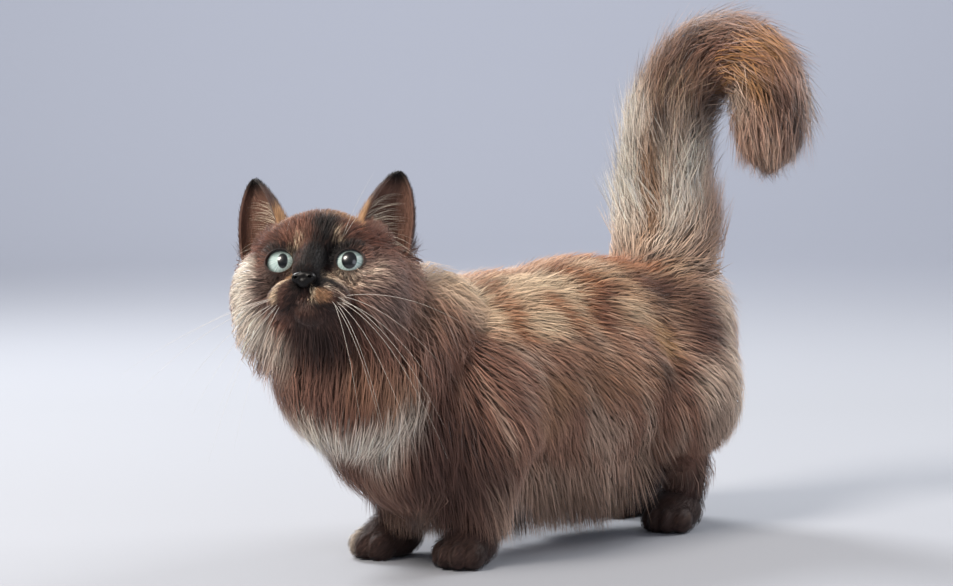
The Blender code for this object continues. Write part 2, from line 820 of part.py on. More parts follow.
def faults(mesh):
    """How many edges don't join exactly two faces, and how many faces cross one another."""
    form = bmesh.new()
    form.from_mesh(mesh)
    bmesh.ops.triangulate(form, faces=form.faces[:])
    form.faces.ensure_lookup_table()
    count = sum(len(edge.link_faces) != 2 for edge in form.edges)
    tree = BVHTree.FromBMesh(form)
    for first, second in tree.overlap(tree):
        count += not set(form.faces[first].verts) & set(form.faces[second].verts)
    form.free()
    return count


def grown(surface, locks):
    """The same locks, stouter all round by the gap that a neighbour leaves them."""
    return [make_lock(surface, lock, LOCK_ROOM) for lock in locks]


def sound(surface, locks):
    """Leaves out locks that cross themselves, where the coat bends sharply."""
    kept = []
    for lock in locks:
        trial = make_lock(surface, lock, LOCK_ROOM)
        if faults(trial.data) == 0:
            kept.append(lock)
        bpy.data.objects.remove(trial, do_unlink=True)
    return kept


def thin_out(thing):
    """Takes out slivers, as far as the surface stays closed."""
    whole = thing.data
    for kept in KEPT_TRIANGLES:
        thing.data = whole.copy()
        thinner = thing.modifiers.new("fewer triangles", "DECIMATE")
        thinner.ratio = kept
        apply_all(thing)
        if faults(thing.data) == 0:
            return
    thing.data = whole


def fuse_locks(thing, surface, locks, cutters):
    """Joins locks to a part, thins slivers out, and cuts away what would touch its neighbours.

    Locks are turned afresh and tried again as long as the surface has faults.
    """
    plain = thing.data
    for _ in range(FUSING_TRIES):
        thing.data = plain.copy()
        combine(thing, [make_lock(surface, lock) for lock in locks], "UNION", "MANIFOLD")
        thin_out(thing)
        fused = thing.data
        for solver in ("EXACT", "MANIFOLD"):
            thing.data = fused.copy()
            for group in cutters():
                combine(thing, group, "DIFFERENCE", solver)
            whole = len(thing.data.polygons) > LEAST_LEFT * len(fused.polygons)
            if whole and faults(thing.data) == 0:
                return
        for lock in locks:
            lock["turn"] = random_turn()


def box_round(points, room):
    """A box that holds some points, with a little room."""
    low = [min(point[k] for point in points) - room for k in range(3)]
    high = [max(point[k] for point in points) + room for k in range(3)]
    form = bmesh.new()
    bmesh.ops.create_cube(form, size=1)
    for vert in form.verts:
        vert.co = [low[k] if vert.co[k] < 0 else high[k] for k in range(3)]
    return object_from("box", form)


def clear_of(thing, other):
    """Takes the little that still overlaps another part out of this one."""
    shared = combine(copy_of(thing, "shared"), [copy_of(other, "other")], "INTERSECT", keep=False)
    form = bmesh.new()
    form.from_mesh(shared.data)
    boxes = [box_round([vert.co for vert in shell], GAP) for shell in shells_of(form)]
    form.free()
    bpy.data.objects.remove(shared, do_unlink=True)
    if boxes:
        combine(thing, boxes, "DIFFERENCE")


def main():
    random.seed(SEED)
    clear_scene()
    surface = coat_surface()
    front = neck_forms(NECK_COAT) + head_forms(HEAD_COAT)
    trunk = melt("torso", torso_forms(BODY_COAT) + front, TRUNK_VOXEL, 10, TRUNK_TRIANGLES)
    front = neck_forms(NECK_COAT) + head_forms(HEAD_COAT)
    head = melt("head", front, HEAD_VOXEL, 10, HEAD_TRIANGLES)
    slice_away(head, JAW_CUT, -JAW_AXIS)
    legs = []
    for side in (1, -1):
        legs += make_leg("fore", side, FORELEG[side_name(side)], trunk)
        legs += make_leg("hind", side, HINDLEG[side_name(side)], trunk)
    tail = make_tail(trunk)
    neck, torso = part_at(trunk, ("neck", "torso"), NECK_CUT, NECK_AXIS)
    slice_away(neck, JAW_CUT - JAW_AXIS * GAP, JAW_AXIS)
    nose = make_nose()
    pads = [make_pad(side) for side in (1, -1)]
    ears = [make_ear(side) for side in (1, -1)]
    for ear in ears:
        combine(ear, [swollen(head)], "DIFFERENCE")
    for pad in pads:
        combine(pad, [swollen(nose)], "DIFFERENCE")
    # The parts as they are before they get their locks or whiskers, for cutting their neighbours.
    plain = {thing: copy_of(thing, thing.name + " plain") for thing in (head, neck, *pads, *tail)}
    for side, pad in zip((1, -1), pads):
        combine(pad, whiskers(side), "UNION")
    eyes = [make_eye(side) for side in (1, -1)]

    ruff = sound(surface, ruff_locks(surface))
    collar = sound(surface, neck_locks(surface))
    body = flank_locks(surface) + chest_locks(surface) + belly_locks(surface) + rump_locks(surface)
    plume = tail_locks(surface)
    fuse_locks(head, surface, ruff, lambda: (
        [[*eye_opening(1), *eye_opening(-1)], [swollen(nose)], [swollen(plain[pad]) for pad in pads]]
    ))
    fuse_locks(neck, surface, collar, lambda: (
        [[swollen(plain[head], SEAM)], [swollen(ear) for ear in ears], grown(surface, ruff)]
    ))
    fuse_locks(torso, surface, sound(surface, body), lambda: (
        [[swollen(plain[neck], SEAM)], [swollen(thing, SEAM) for thing in (plain[tail[0]], *legs)]]
        + [grown(surface, collar)]
    ))
    for i, piece in enumerate(tail):
        fuse_locks(piece, surface, plume[i], lambda: (
            [[swollen(plain[after], SEAM)] for after in tail[i + 1 : i + 2]]
            + ([grown(surface, plume[i - 1])] if i else [])
        ))
    for thing, other in ((neck, head), (torso, neck), (torso, tail[0]), *zip(tail[1:], tail)):
        clear_of(thing, other)
    for thing in plain.values():
        bpy.data.objects.remove(thing, do_unlink=True)
    things = [head, nose, *pads, *ears, *eyes, neck, torso, *legs, *tail]
    for thing in things:
        paint(thing, COLOURS.get(thing.name.split("_")[0], COAT_COLOUR))
        thing.data.shade_smooth()
    centre_model(things)


main()
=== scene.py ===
"""The looks of the munchkin cat: skin, fur, eyes, nose, whiskers and studio light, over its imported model.

The cat is modelled in the coordinates of its CAD source, where X is the cat's left, -Y is forward and
Z is up, in metres. The last step moves every piece to the frame. One skin stands for all the flesh. The
fur over it is closed tapered tufts, which follow the lie of the coat from nose to tail.
"""

import math

import bmesh
import bpy
import numpy as np
from mathutils import Euler, Matrix, Vector, noise
from mathutils.bvhtree import BVHTree
from mathutils.kdtree import KDTree


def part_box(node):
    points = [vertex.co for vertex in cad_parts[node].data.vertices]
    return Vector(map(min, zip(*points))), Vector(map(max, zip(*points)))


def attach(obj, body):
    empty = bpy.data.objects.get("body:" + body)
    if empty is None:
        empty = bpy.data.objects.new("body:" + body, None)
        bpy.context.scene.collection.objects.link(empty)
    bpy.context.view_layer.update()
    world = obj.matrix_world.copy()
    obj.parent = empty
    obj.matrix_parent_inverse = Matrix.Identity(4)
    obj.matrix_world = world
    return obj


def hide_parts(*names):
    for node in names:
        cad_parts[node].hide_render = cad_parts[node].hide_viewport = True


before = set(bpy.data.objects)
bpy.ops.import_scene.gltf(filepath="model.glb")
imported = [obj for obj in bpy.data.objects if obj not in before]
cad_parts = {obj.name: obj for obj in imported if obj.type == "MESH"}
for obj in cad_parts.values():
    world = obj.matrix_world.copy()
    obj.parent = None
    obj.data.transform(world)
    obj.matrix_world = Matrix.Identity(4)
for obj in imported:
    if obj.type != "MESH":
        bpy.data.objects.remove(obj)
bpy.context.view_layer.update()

SEED = 11
SIDES = {1: "left", -1: "right"}
VECTOR_MATH, MAP_RANGE, NOISE, MIX = (
    "ShaderNodeVectorMath", "ShaderNodeMapRange", "ShaderNodeTexNoise", "ShaderNodeMix"
)

# The head is modelled round its own centre, facing -Y, and then placed.
HEAD_CENTRE = Vector((0.001, -0.2013, 0.1806))
HEAD_YAW, HEAD_PITCH, HEAD_ROLL = 36.5, 21.0, -3.5
HEAD = (
    Matrix.Translation(HEAD_CENTRE)
    @ Matrix.Rotation(math.radians(HEAD_YAW), 4, "Z")
    @ Matrix.Rotation(math.radians(-HEAD_PITCH), 4, "X")
    @ Matrix.Rotation(math.radians(HEAD_ROLL), 4, "Y")
)
BODY = Matrix.Identity(4)

EYE_RADIUS = 0.0108
EYE_CENTRE = Vector((0.0213, -0.0262, 0.0035))
EYE_CENTRES = {1: Vector((0.022, -0.026, 0.0022)), -1: Vector((0.0178, -0.0268, 0.0035))}
EYE_HALVES = {1: (0.0089, 0.007), -1: (0.0094, 0.0074)}
EYE_SPLAY, EYE_SLANT = 9.0, 8.0
# Half widths and half heights of the pupils, as shares of the eye's width.
PUPILS = {1: (0.212, 0.245), -1: (0.14, 0.215)}
LID, LID_GAP = 0.0018, 0.0002
LID_TURNS, LID_AROUND, LID_THICK = 64, 8, 0.001
EYE_DEEP, EYE_RINGS = 0.014, 48
CORNEA = 0.0006
GAZE_YAW, GAZE_PITCH = 7.0, 1.0
NOSE_CENTRE = Vector((0.0, -0.0548, -0.014))
NOSE_VOXEL, NOSE_ROUNDS, NOSE_SIZE = 0.0004, 22, (0.92, 0.9, 0.92)
PAD_CENTRE = Vector((0.0105, -0.0405, -0.0195))
PAD_RADII = (0.012, 0.01, 0.007)
PAD_DROOP = 22.0
LOWER_LIP = [
    ((-0.02, -0.029, -0.027), 0),
    ((-0.012, -0.042, -0.027), 0),
    ((0.0005, -0.048, -0.025), 0),
    ((0.013, -0.042, -0.027), 0),
    ((0.02, -0.029, -0.027), 0),
]
LIP = 0.0018
EAR_BASE = Vector((0.0335, 0.003, 0.0195))
EAR_TIP = Vector((0.0455, 0.009, 0.0722))
EAR_HALF_WIDTH, EAR_HALF_DEPTH, EAR_WALL = 0.0195, 0.0125, 0.0016
EAR_TURN, EAR_BLUNT = 32.0, 0.72
# The ear's shell runs from under the scalp to its tip, and this far round in degrees.
EAR_ROWS, EAR_COLUMNS = 34, 30
EAR_SUNK, EAR_FROM, EAR_ROUND = 0.3, -28, 236

# Each ball: centre, radii, pitch in degrees about X.
TORSO_BALLS = [
    ((0, -0.05, 0.116), (0.05, 0.09, 0.053), 0),
    ((0, -0.127, 0.1), (0.042, 0.048, 0.046), 0),
    ((0, -0.085, 0.132), (0.032, 0.05, 0.03), 0),
    ((0, 0.015, 0.108), (0.051, 0.085, 0.052), 0),
    ((0, 0.025, 0.134), (0.04, 0.088, 0.042), 0),
    ((0, 0.098, 0.127), (0.046, 0.052, 0.048), 0),
]
TORSO_PAIRS = [
    ((0.033, -0.098, 0.1), (0.024, 0.036, 0.046), 0),
    ((0.03, 0.092, 0.095), (0.027, 0.041, 0.046), 0),
]
NECK_BALLS = [
    ((0, -0.166, 0.134), (0.041, 0.045, 0.045), 0),
    ((0.001, -0.18, 0.158), (0.037, 0.037, 0.037), 0),
    ((0, -0.138, 0.147), (0.04, 0.046, 0.031), 0),
]
HEAD_BALLS = [
    ((0, 0.006, 0.009), (0.041, 0.04, 0.0325), 0),
    ((0, -0.016, 0.015), (0.028, 0.02, 0.018), 0),
    ((0, -0.026, -0.018), (0.022, 0.02, 0.015), 0),
    ((0.001, -0.0375, -0.0285), (0.008, 0.0085, 0.0055), 0),
    ((0, 0.004, -0.02), (0.034, 0.034, 0.022), 0),
]
HEAD_PAIRS = [
    ((0.028, -0.001, -0.008), (0.022, 0.028, 0.026), 0),
    ((0.024, 0.006, 0.0225), (0.017, 0.018, 0.0175), 0),
    ((0.036, 0.014, 0.004), (0.014, 0.019, 0.02), 0),
]
BRIDGE = [
    ((0, -0.022, 0.014), 0.0105),
    ((0, -0.037, 0.004), 0.0088),
    ((0, -0.0505, -0.009), 0.0066),
]
TAIL_LINE = [
    ((0, 0.102, 0.155), 0.025),
    ((0.0, 0.12, 0.185), 0.02),
    ((-0.003, 0.118, 0.222), 0.012),
    ((-0.002, 0.117, 0.256), 0.01),
    ((0.003, 0.12, 0.29), 0.0095),
    ((0.018, 0.1305, 0.318), 0.009),
    ((0.042, 0.14, 0.325), 0.0085),
    ((0.064, 0.142, 0.309), 0.008),
    ((0.072, 0.141, 0.285), 0.0075),
    ((0.071, 0.14, 0.265), 0.0055),
]
LEGS = {
    "fore left": [
        ((0.036, -0.084, 0.08), 0.019),
        ((0.031, -0.098, 0.048), 0.0145),
        ((0.028, -0.098, 0.018), 0.0125),
    ],
    "fore right": [
        ((-0.036, -0.088, 0.08), 0.019),
        ((-0.031, -0.108, 0.048), 0.0145),
        ((-0.028, -0.11, 0.018), 0.0125),
    ],
    "hind left": [
        ((0.032, 0.088, 0.085), 0.025),
        ((0.031, 0.106, 0.048), 0.015),
        ((0.03, 0.098, 0.016), 0.0125),
    ],
    "hind right": [
        ((-0.032, 0.108, 0.085), 0.025),
        ((-0.031, 0.134, 0.048), 0.015),
        ((-0.03, 0.127, 0.016), 0.0125),
    ],
}
PAW_TOES = ((-0.0115, -0.0195), (-0.004, -0.0245), (0.004, -0.0245), (0.0115, -0.0195))
FLESH = (
    "head", "whisker_pad_left", "whisker_pad_right", "ear_left", "ear_right", "neck", "torso",
    "foreleg_left", "foreleg_right", "forepaw_left", "forepaw_right",
    "hindleg_left", "hindleg_right", "hindpaw_left", "hindpaw_right",
    "tail_root", "tail_shaft", "tail_bend", "tail_tip",
)

rng = np.random.default_rng(SEED)


def linear(hex_colour):
    """Linear RGB of an sRGB hex colour."""
    values = [int(hex_colour[i : i + 2], 16) / 255 for i in (1, 3, 5)]
    return tuple(v / 12.92 if v <= 0.04045 else ((v + 0.055) / 1.055) ** 2.4 for v in values)


def evaluated_mesh(thing):
    """A new mesh of a thing with its modifiers."""
    graph = bpy.context.evaluated_depsgraph_get()
    graph.update()
    return bpy.data.meshes.new_from_object(thing.evaluated_get(graph), depsgraph=graph)


def apply_all(thing):
    """Applies all of a piece's modifiers."""
    mesh = evaluated_mesh(thing)
    thing.modifiers.clear()
    thing.data = mesh
    return thing


def dress(thing, look):
    """Gives a piece its one material."""
    thing.data.materials.clear()
    thing.data.materials.append(look)


def new_object(name, mesh):
    thing = bpy.data.objects.new(name, mesh)
    bpy.context.scene.collection.objects.link(thing)
    return thing


def object_from(name, form):
    mesh = bpy.data.meshes.new(name)
    form.to_mesh(mesh)
    form.free()
    return new_object(name, mesh)


def smooth_piece(name, form):
    """A smooth-shaded piece from mesh code."""
    thing = object_from(name, form)
    thing.data.shade_smooth()
    return thing


def ball(centre, radii, pitch=0.0, place=BODY, grow=0.0, rings=24):
    """An egg-shaped ball, with its pitch in degrees, in the body's or the head's frame."""
    bpy.ops.object.select_all(action="DESELECT")
    bpy.ops.mesh.primitive_uv_sphere_add(segments=2 * rings, ring_count=rings, radius=1.0, calc_uvs=False)
    form = bpy.context.object
    size = Matrix.Diagonal(Vector([r + grow for r in radii] + [1.0]))
    turn = Matrix.Rotation(math.radians(pitch), 4, "X")
    form.data.transform(place @ Matrix.Translation(Vector(centre)) @ turn @ size)
    return form


def both_sides(forms):
    """Balls of the left side and the same for the right."""
    return forms + [((-centre[0], *centre[1:]), radii, pitch) for centre, radii, pitch in forms]


def limb(line, place=BODY, grow=0.0, roundness=4, steps=8):
    """A round limb along a line of (point, radius), closed at both ends."""
    curve = bpy.data.curves.new("limb", "CURVE")
    curve.dimensions = "3D"
    curve.bevel_depth = 1.0
    curve.bevel_resolution = roundness
    curve.resolution_u = steps
    curve.use_fill_caps = True
    spline = curve.splines.new("NURBS")
    spline.points.add(len(line) - 1)
    for point, (centre, radius) in zip(spline.points, line):
        point.co = (*(place @ Vector(centre)), 1.0)
        point.radius = radius + grow
    spline.use_endpoint_u = True
    spline.order_u = 3
    guide = new_object("limb", curve)
    form = bmesh.new()
    form.from_mesh(evaluated_mesh(guide))
    bpy.data.objects.remove(guide, do_unlink=True)
    bmesh.ops.remove_doubles(form, verts=form.verts, dist=1e-6)
    return object_from("limb", form)


def rounded_limb(line, place=BODY, grow=0.0):
    """A limb with a ball at each end."""
    ends = [ball(line[i][0], (line[i][1],) * 3, 0, place, grow) for i in (0, -1)]
    return [limb(line, place, grow), *ends]


def join(name, things):
    """One piece of several."""
    form = bmesh.new()
    for thing in things:
        form.from_mesh(thing.data)
        bpy.data.objects.remove(thing, do_unlink=True)
    return object_from(name, form)


def melt(name, things, voxel, rounds):
    """Overlapping forms become one smooth skin."""
    skin = join(name, things)
    remesh = skin.modifiers.new("melt", "REMESH")
    remesh.mode = "VOXEL"
    remesh.voxel_size = voxel
    smooth = skin.modifiers.new("smooth", "SMOOTH")
    smooth.factor = 0.5
    smooth.iterations = rounds
    skin.modifiers.new("triangles", "TRIANGULATE")
    return apply_all(skin)


def combine(thing, others, operation):
    """Boolean of an object with several others, which are then removed."""
    pieces = bpy.data.collections.new("pieces")
    bpy.context.scene.collection.children.link(pieces)
    for other in others:
        for home in list(other.users_collection):
            home.objects.unlink(other)
        pieces.objects.link(other)
    boolean = thing.modifiers.new(operation.lower(), "BOOLEAN")
    boolean.operation = operation
    boolean.operand_type = "COLLECTION"
    boolean.collection = pieces
    boolean.solver = "MANIFOLD"
    apply_all(thing)
    for other in others:
        bpy.data.objects.remove(other, do_unlink=True)
    bpy.data.collections.remove(pieces)
    return thing


def on_side(side, point):
    """A point of the left side, or the same on the right."""
    return Vector((side * point[0], point[1], point[2]))


def eye_place(side):
    """An eye's own frame: it looks along -Y, a little outwards, with its outer corner raised."""
    return (
        HEAD
        @ Matrix.Translation(on_side(side, EYE_CENTRES[side]))
        @ Matrix.Rotation(math.radians(side * EYE_SPLAY), 4, "Z")
        @ Matrix.Rotation(math.radians(-side * EYE_SLANT), 4, "Y")
    )


def paw(line, grow):
    """A round paw with four toes, in front of the end of a leg."""
    x, y, z = line[-1][0]
    out = math.radians(14 if x > 0 else -14)
    place = Matrix.Translation((x, y, 0)) @ Matrix.Rotation(out, 4, "Z")
    forms = [ball((0, -0.006, 0.013), (0.0155, 0.02, 0.013), 0, place, grow)]
    forms.append(ball((0, 0, z), (line[-1][1],) * 3, 0, Matrix.Translation((x, y, 0))))
    for across, forward in PAW_TOES:
        forms.append(ball((across, forward, 0.0085), (0.0052, 0.0092, 0.008), 0, place, grow))
    return melt("paw", forms, PAW_VOXEL, PAW_ROUNDS)


def ear_point(side, t, angle, width=1.0):
    """A point of an ear's cupped shell: share of its height, and angle round it in degrees."""
    narrow = max(0.02, (1 - t**2.0) ** EAR_BLUNT) if t > 0 else 1 + 1.3 * t
    angle = math.radians(angle)
    across = Vector((math.cos(angle) * EAR_HALF_WIDTH, math.sin(angle) * EAR_HALF_DEPTH, 0))
    across = across * narrow * width
    across.rotate(Euler((0, 0, math.radians(EAR_TURN))))
    return HEAD @ on_side(side, EAR_BASE.lerp(EAR_TIP, t) + across)


def ear(side):
    """A cupped ear: a curved, pointed shell that opens forwards and outwards, with its foot in the head."""
    form = bmesh.new()
    grid = []
    for row in range(EAR_ROWS + 1):
        t = -EAR_SUNK + (1 + EAR_SUNK) * row / EAR_ROWS
        angles = [EAR_FROM + EAR_ROUND * c / EAR_COLUMNS for c in range(EAR_COLUMNS + 1)]
        grid.append([form.verts.new(ear_point(side, t, angle)) for angle in angles])
    for low, high in zip(grid, grid[1:]):
        for a, b, c, d in zip(low, low[1:], high[1:], high):
            form.faces.new((a, b, c, d) if side > 0 else (d, c, b, a))
    shell = object_from("ear", form)
    wall = shell.modifiers.new("wall", "SOLIDIFY")
    wall.thickness = EAR_WALL
    wall.offset = 0
    return apply_all(shell)


# How far each form is swollen before it melts, its voxel, and the rounds of smoothing after.
SKIN_GROW, SKIN_VOXEL, SKIN_ROUNDS = 0.001, 0.0027, 16
HEAD_GROW, HEAD_VOXEL, HEAD_ROUNDS = 0.0014, 0.0009, 7
PAW_GROW, PAW_VOXEL, PAW_ROUNDS = 0.0006, 0.0013, 2
HEAD_SUNK = 0.0015


def make_skin():
    """One closed skin over the whole cat, finer at the head and paws."""
    trunk = TORSO_BALLS + both_sides(TORSO_PAIRS) + NECK_BALLS
    skull = HEAD_BALLS + both_sides(HEAD_PAIRS)
    forms = [ball(*form, BODY, SKIN_GROW) for form in trunk]
    forms += [ball(*form, HEAD, HEAD_GROW - HEAD_SUNK) for form in skull]
    for line in (TAIL_LINE, *LEGS.values()):
        forms += rounded_limb(line, BODY, SKIN_GROW)
    skin = melt("skin", forms, SKIN_VOXEL, SKIN_ROUNDS)
    forms = [ball(*form, HEAD, HEAD_GROW) for form in skull]
    for side in SIDES:
        forms.append(ball(on_side(side, EYE_CENTRES[side]), (EYE_RADIUS + LID,) * 3, 0, HEAD))
        droop = Matrix.Rotation(math.radians(side * PAD_DROOP), 4, "Y")
        place = HEAD @ Matrix.Translation(on_side(side, PAD_CENTRE)) @ droop
        forms.append(ball((0, 0, 0), PAD_RADII, 0, place, HEAD_GROW))
    forms.append(limb(LOWER_LIP, HEAD, LIP))
    forms += rounded_limb(BRIDGE, HEAD, 0)
    head = melt("head", forms, HEAD_VOXEL, HEAD_ROUNDS)
    combine(skin, [head, *[ear(side) for side in SIDES]], "UNION")
    combine(skin, [paw(line, PAW_GROW) for line in LEGS.values()], "UNION")
    openings = []
    for side in SIDES:
        place = eye_place(side)
        openings.append(ball((0, 0, 0), (EYE_RADIUS + LID_GAP,) * 3, 0, place))
        wide, high = EYE_HALVES[side]
        openings.append(ball((0, -EYE_DEEP, 0), (wide, EYE_DEEP, high), 0, place))
    combine(skin, openings, "DIFFERENCE")
    for vert in skin.data.vertices:
        vert.co.z = max(vert.co.z, 0)
    return skin


def unwrap(thing):
    """Lays out a mesh's own unwrap by the bends of its form."""
    bpy.ops.object.select_all(action="DESELECT")
    bpy.context.view_layer.objects.active = thing
    thing.select_set(True)
    bpy.ops.object.mode_set(mode="EDIT")
    bpy.ops.mesh.select_all(action="SELECT")
    bpy.ops.uv.smart_project(angle_limit=math.radians(66), island_margin=0.001)
    bpy.ops.object.mode_set(mode="OBJECT")
    thing.data.uv_layers[0].name = "OFBake"


# Lie of the coat, worked out for many points at once.
HEAD_TURN = np.array(HEAD.to_3x3())
HEAD_PLACE = np.array(HEAD_CENTRE)
NOSE_POINT = np.array(HEAD @ NOSE_CENTRE)


def share_of(value, start, end):
    """How far values have come from start to end, from 0 to 1."""
    return np.clip((value - start) / (end - start), 0, 1)


def smooth_share(value, start, end):
    """The same, with a soft start and end."""
    t = share_of(value, start, end)
    return t * t * (3 - 2 * t)


def unit(vectors):
    return vectors / np.maximum(np.linalg.norm(vectors, axis=-1, keepdims=True), 1e-9)


def vectors(*parts):
    return np.stack(np.broadcast_arrays(*parts), axis=-1).astype(float)


def in_head(points):
    """The same points in the head's own frame."""
    return (points - HEAD_PLACE) @ HEAD_TURN


def ball_distance(points, forms):
    """About how far points lie outside a set of balls."""
    best = np.full(len(points), 1.0)
    for centre, radii, _ in forms:
        radii = np.array(radii)
        scaled = np.linalg.norm((points - np.array(centre)) / radii, axis=1)
        best = np.minimum(best, (scaled - 1) * radii.min())
    return best


def line_distance(points, line):
    """How far points lie from the surface of a limb, and how far along it they are."""
    best = np.full(len(points), 1.0)
    along = np.zeros(len(points))
    for i, ((a, ra), (b, rb)) in enumerate(zip(line, line[1:])):
        a, b = np.array(a, float), np.array(b, float)
        t = np.clip((points - a) @ (b - a) / ((b - a) @ (b - a)), 0, 1)
        far = np.linalg.norm(points - (a + t[:, None] * (b - a)), axis=1) - (ra + t * (rb - ra))
        closer = far < best
        best = np.where(closer, far, best)
        along = np.where(closer, i + t, along)
    return best, along


# Zones of the coat, in the order of their shares.
ZONES = ("torso", "neck", "head", "tail", "leg", "paw", "ear")


def ear_place(points):
    """Where points lie on an ear: share of its height, and distance from its middle line in ear widths."""
    q = in_head(points)
    t = (q[:, 2] - EAR_BASE.z) / (EAR_TIP.z - EAR_BASE.z)
    side = np.where(q[:, 0] > 0, 1.0, -1.0)
    across = q[:, 0] * side - (EAR_BASE.x + t * (EAR_TIP.x - EAR_BASE.x))
    deep = q[:, 1] - (EAR_BASE.y + t * (EAR_TIP.y - EAR_BASE.y))
    turn = math.radians(-EAR_TURN)
    ex = across * math.cos(turn) - deep * math.sin(turn)
    ey = across * math.sin(turn) + deep * math.cos(turn)
    narrow = np.maximum((1 - np.clip(t, 0, 1) ** 2.0) ** EAR_BLUNT, 0.02)
    return t, np.hypot(ex / EAR_HALF_WIDTH, ey / EAR_HALF_DEPTH) / narrow, ex, ey


def zone_shares(points):
    """How much each point belongs to each zone of the coat; the shares add up to 1."""
    paws = [
        np.linalg.norm(points - np.array((line[-1][0][0], line[-1][0][1] - 0.008, 0.01)), axis=1) - 0.019
        for line in LEGS.values()
    ]
    t, ring, _, _ = ear_place(points)
    off_ear = np.maximum(ring - 1.15, 0) * 0.012 + np.maximum(0.22 - t, 0) * 0.05
    ear = np.where((t > 0) & (t < 1.1), off_ear, 1.0)
    far = np.array([
        ball_distance(points, TORSO_BALLS + both_sides(TORSO_PAIRS)),
        ball_distance(points, NECK_BALLS),
        ball_distance(in_head(points), HEAD_BALLS + both_sides(HEAD_PAIRS)),
        line_distance(points, TAIL_LINE)[0],
        np.min([line_distance(points, line)[0] for line in LEGS.values()], axis=0) + 0.002,
        np.min(paws, axis=0),
        ear - 0.004,
    ])
    shares = np.exp(-(((far - far.min(axis=0)) / 0.006) ** 1.5))
    shares /= shares.sum(axis=0)
    trunk = shares[0] + shares[1]
    shares[1] = trunk * smooth_share(points[:, 1], -0.105, -0.185)
    shares[0] = trunk - shares[1]
    return shares


def tail_way(points):
    """The way along the tail at each point, from its root to its tip."""
    way = np.zeros_like(points)
    for (a, _), (b, _) in zip(TAIL_LINE, TAIL_LINE[1:]):
        a, b = np.array(a), np.array(b)
        near = np.exp(-((np.linalg.norm(points - (a + b) / 2, axis=1) / 0.018) ** 2))
        way += near[:, None] * unit(b - a)
    return unit(way)


def eye_distance(points, side):
    """How far points lie from the middle of an eye's opening, and the way there."""
    away = points - np.array(HEAD @ on_side(side, EYE_CENTRES[side] + Vector((0, -0.01, 0))))
    return np.linalg.norm(away, axis=1), unit(away)


def coat_lie(points, shares):
    """The way that the coat lies at each point."""
    x, y, z = points.T
    none = x * 0
    low = share_of(z, 0.18, 0.085)
    front = share_of(y, -0.11, -0.165)
    rear = share_of(y, 0.095, 0.15)
    body = unit(vectors(none, 1 - front - 0.8 * rear, -0.1 - 1.0 * low - 1.5 * np.maximum(front, rear)))
    belly = unit(vectors(2 * x, 0.85, -1))
    under = smooth_share(z, 0.085, 0.062)[:, None]
    body = unit(body * (1 - under) + belly * under)
    neck = unit(vectors(none, 0.8 - share_of(y, -0.13, -0.19), -0.9))
    from_nose = np.linalg.norm(points - NOSE_POINT, axis=1)
    head = unit(points - NOSE_POINT)
    head[:, 2] -= 0.5 * smooth_share(from_nose, 0.03, 0.06)
    head = unit(head)
    for side in SIDES:
        far, away = eye_distance(points, side)
        head += 2.2 * away * np.exp(-((np.maximum(far - 0.009, 0) / 0.005) ** 2))[:, None]
    head = unit(head)
    leg = unit(vectors(none, 0.12, -1))
    foot = unit(vectors(none, -0.9, -0.5))
    side = np.where(in_head(points)[:, 0] > 0, 1.0, -1.0)
    ear = unit(vectors(side * 0.25, 0.25, 1)) @ HEAD_TURN.T
    ways = [body, neck, head, tail_way(points) + np.array((0, 0, -0.12)), leg, foot, ear]
    return unit(sum(share[:, None] * way for share, way in zip(shares, ways)))


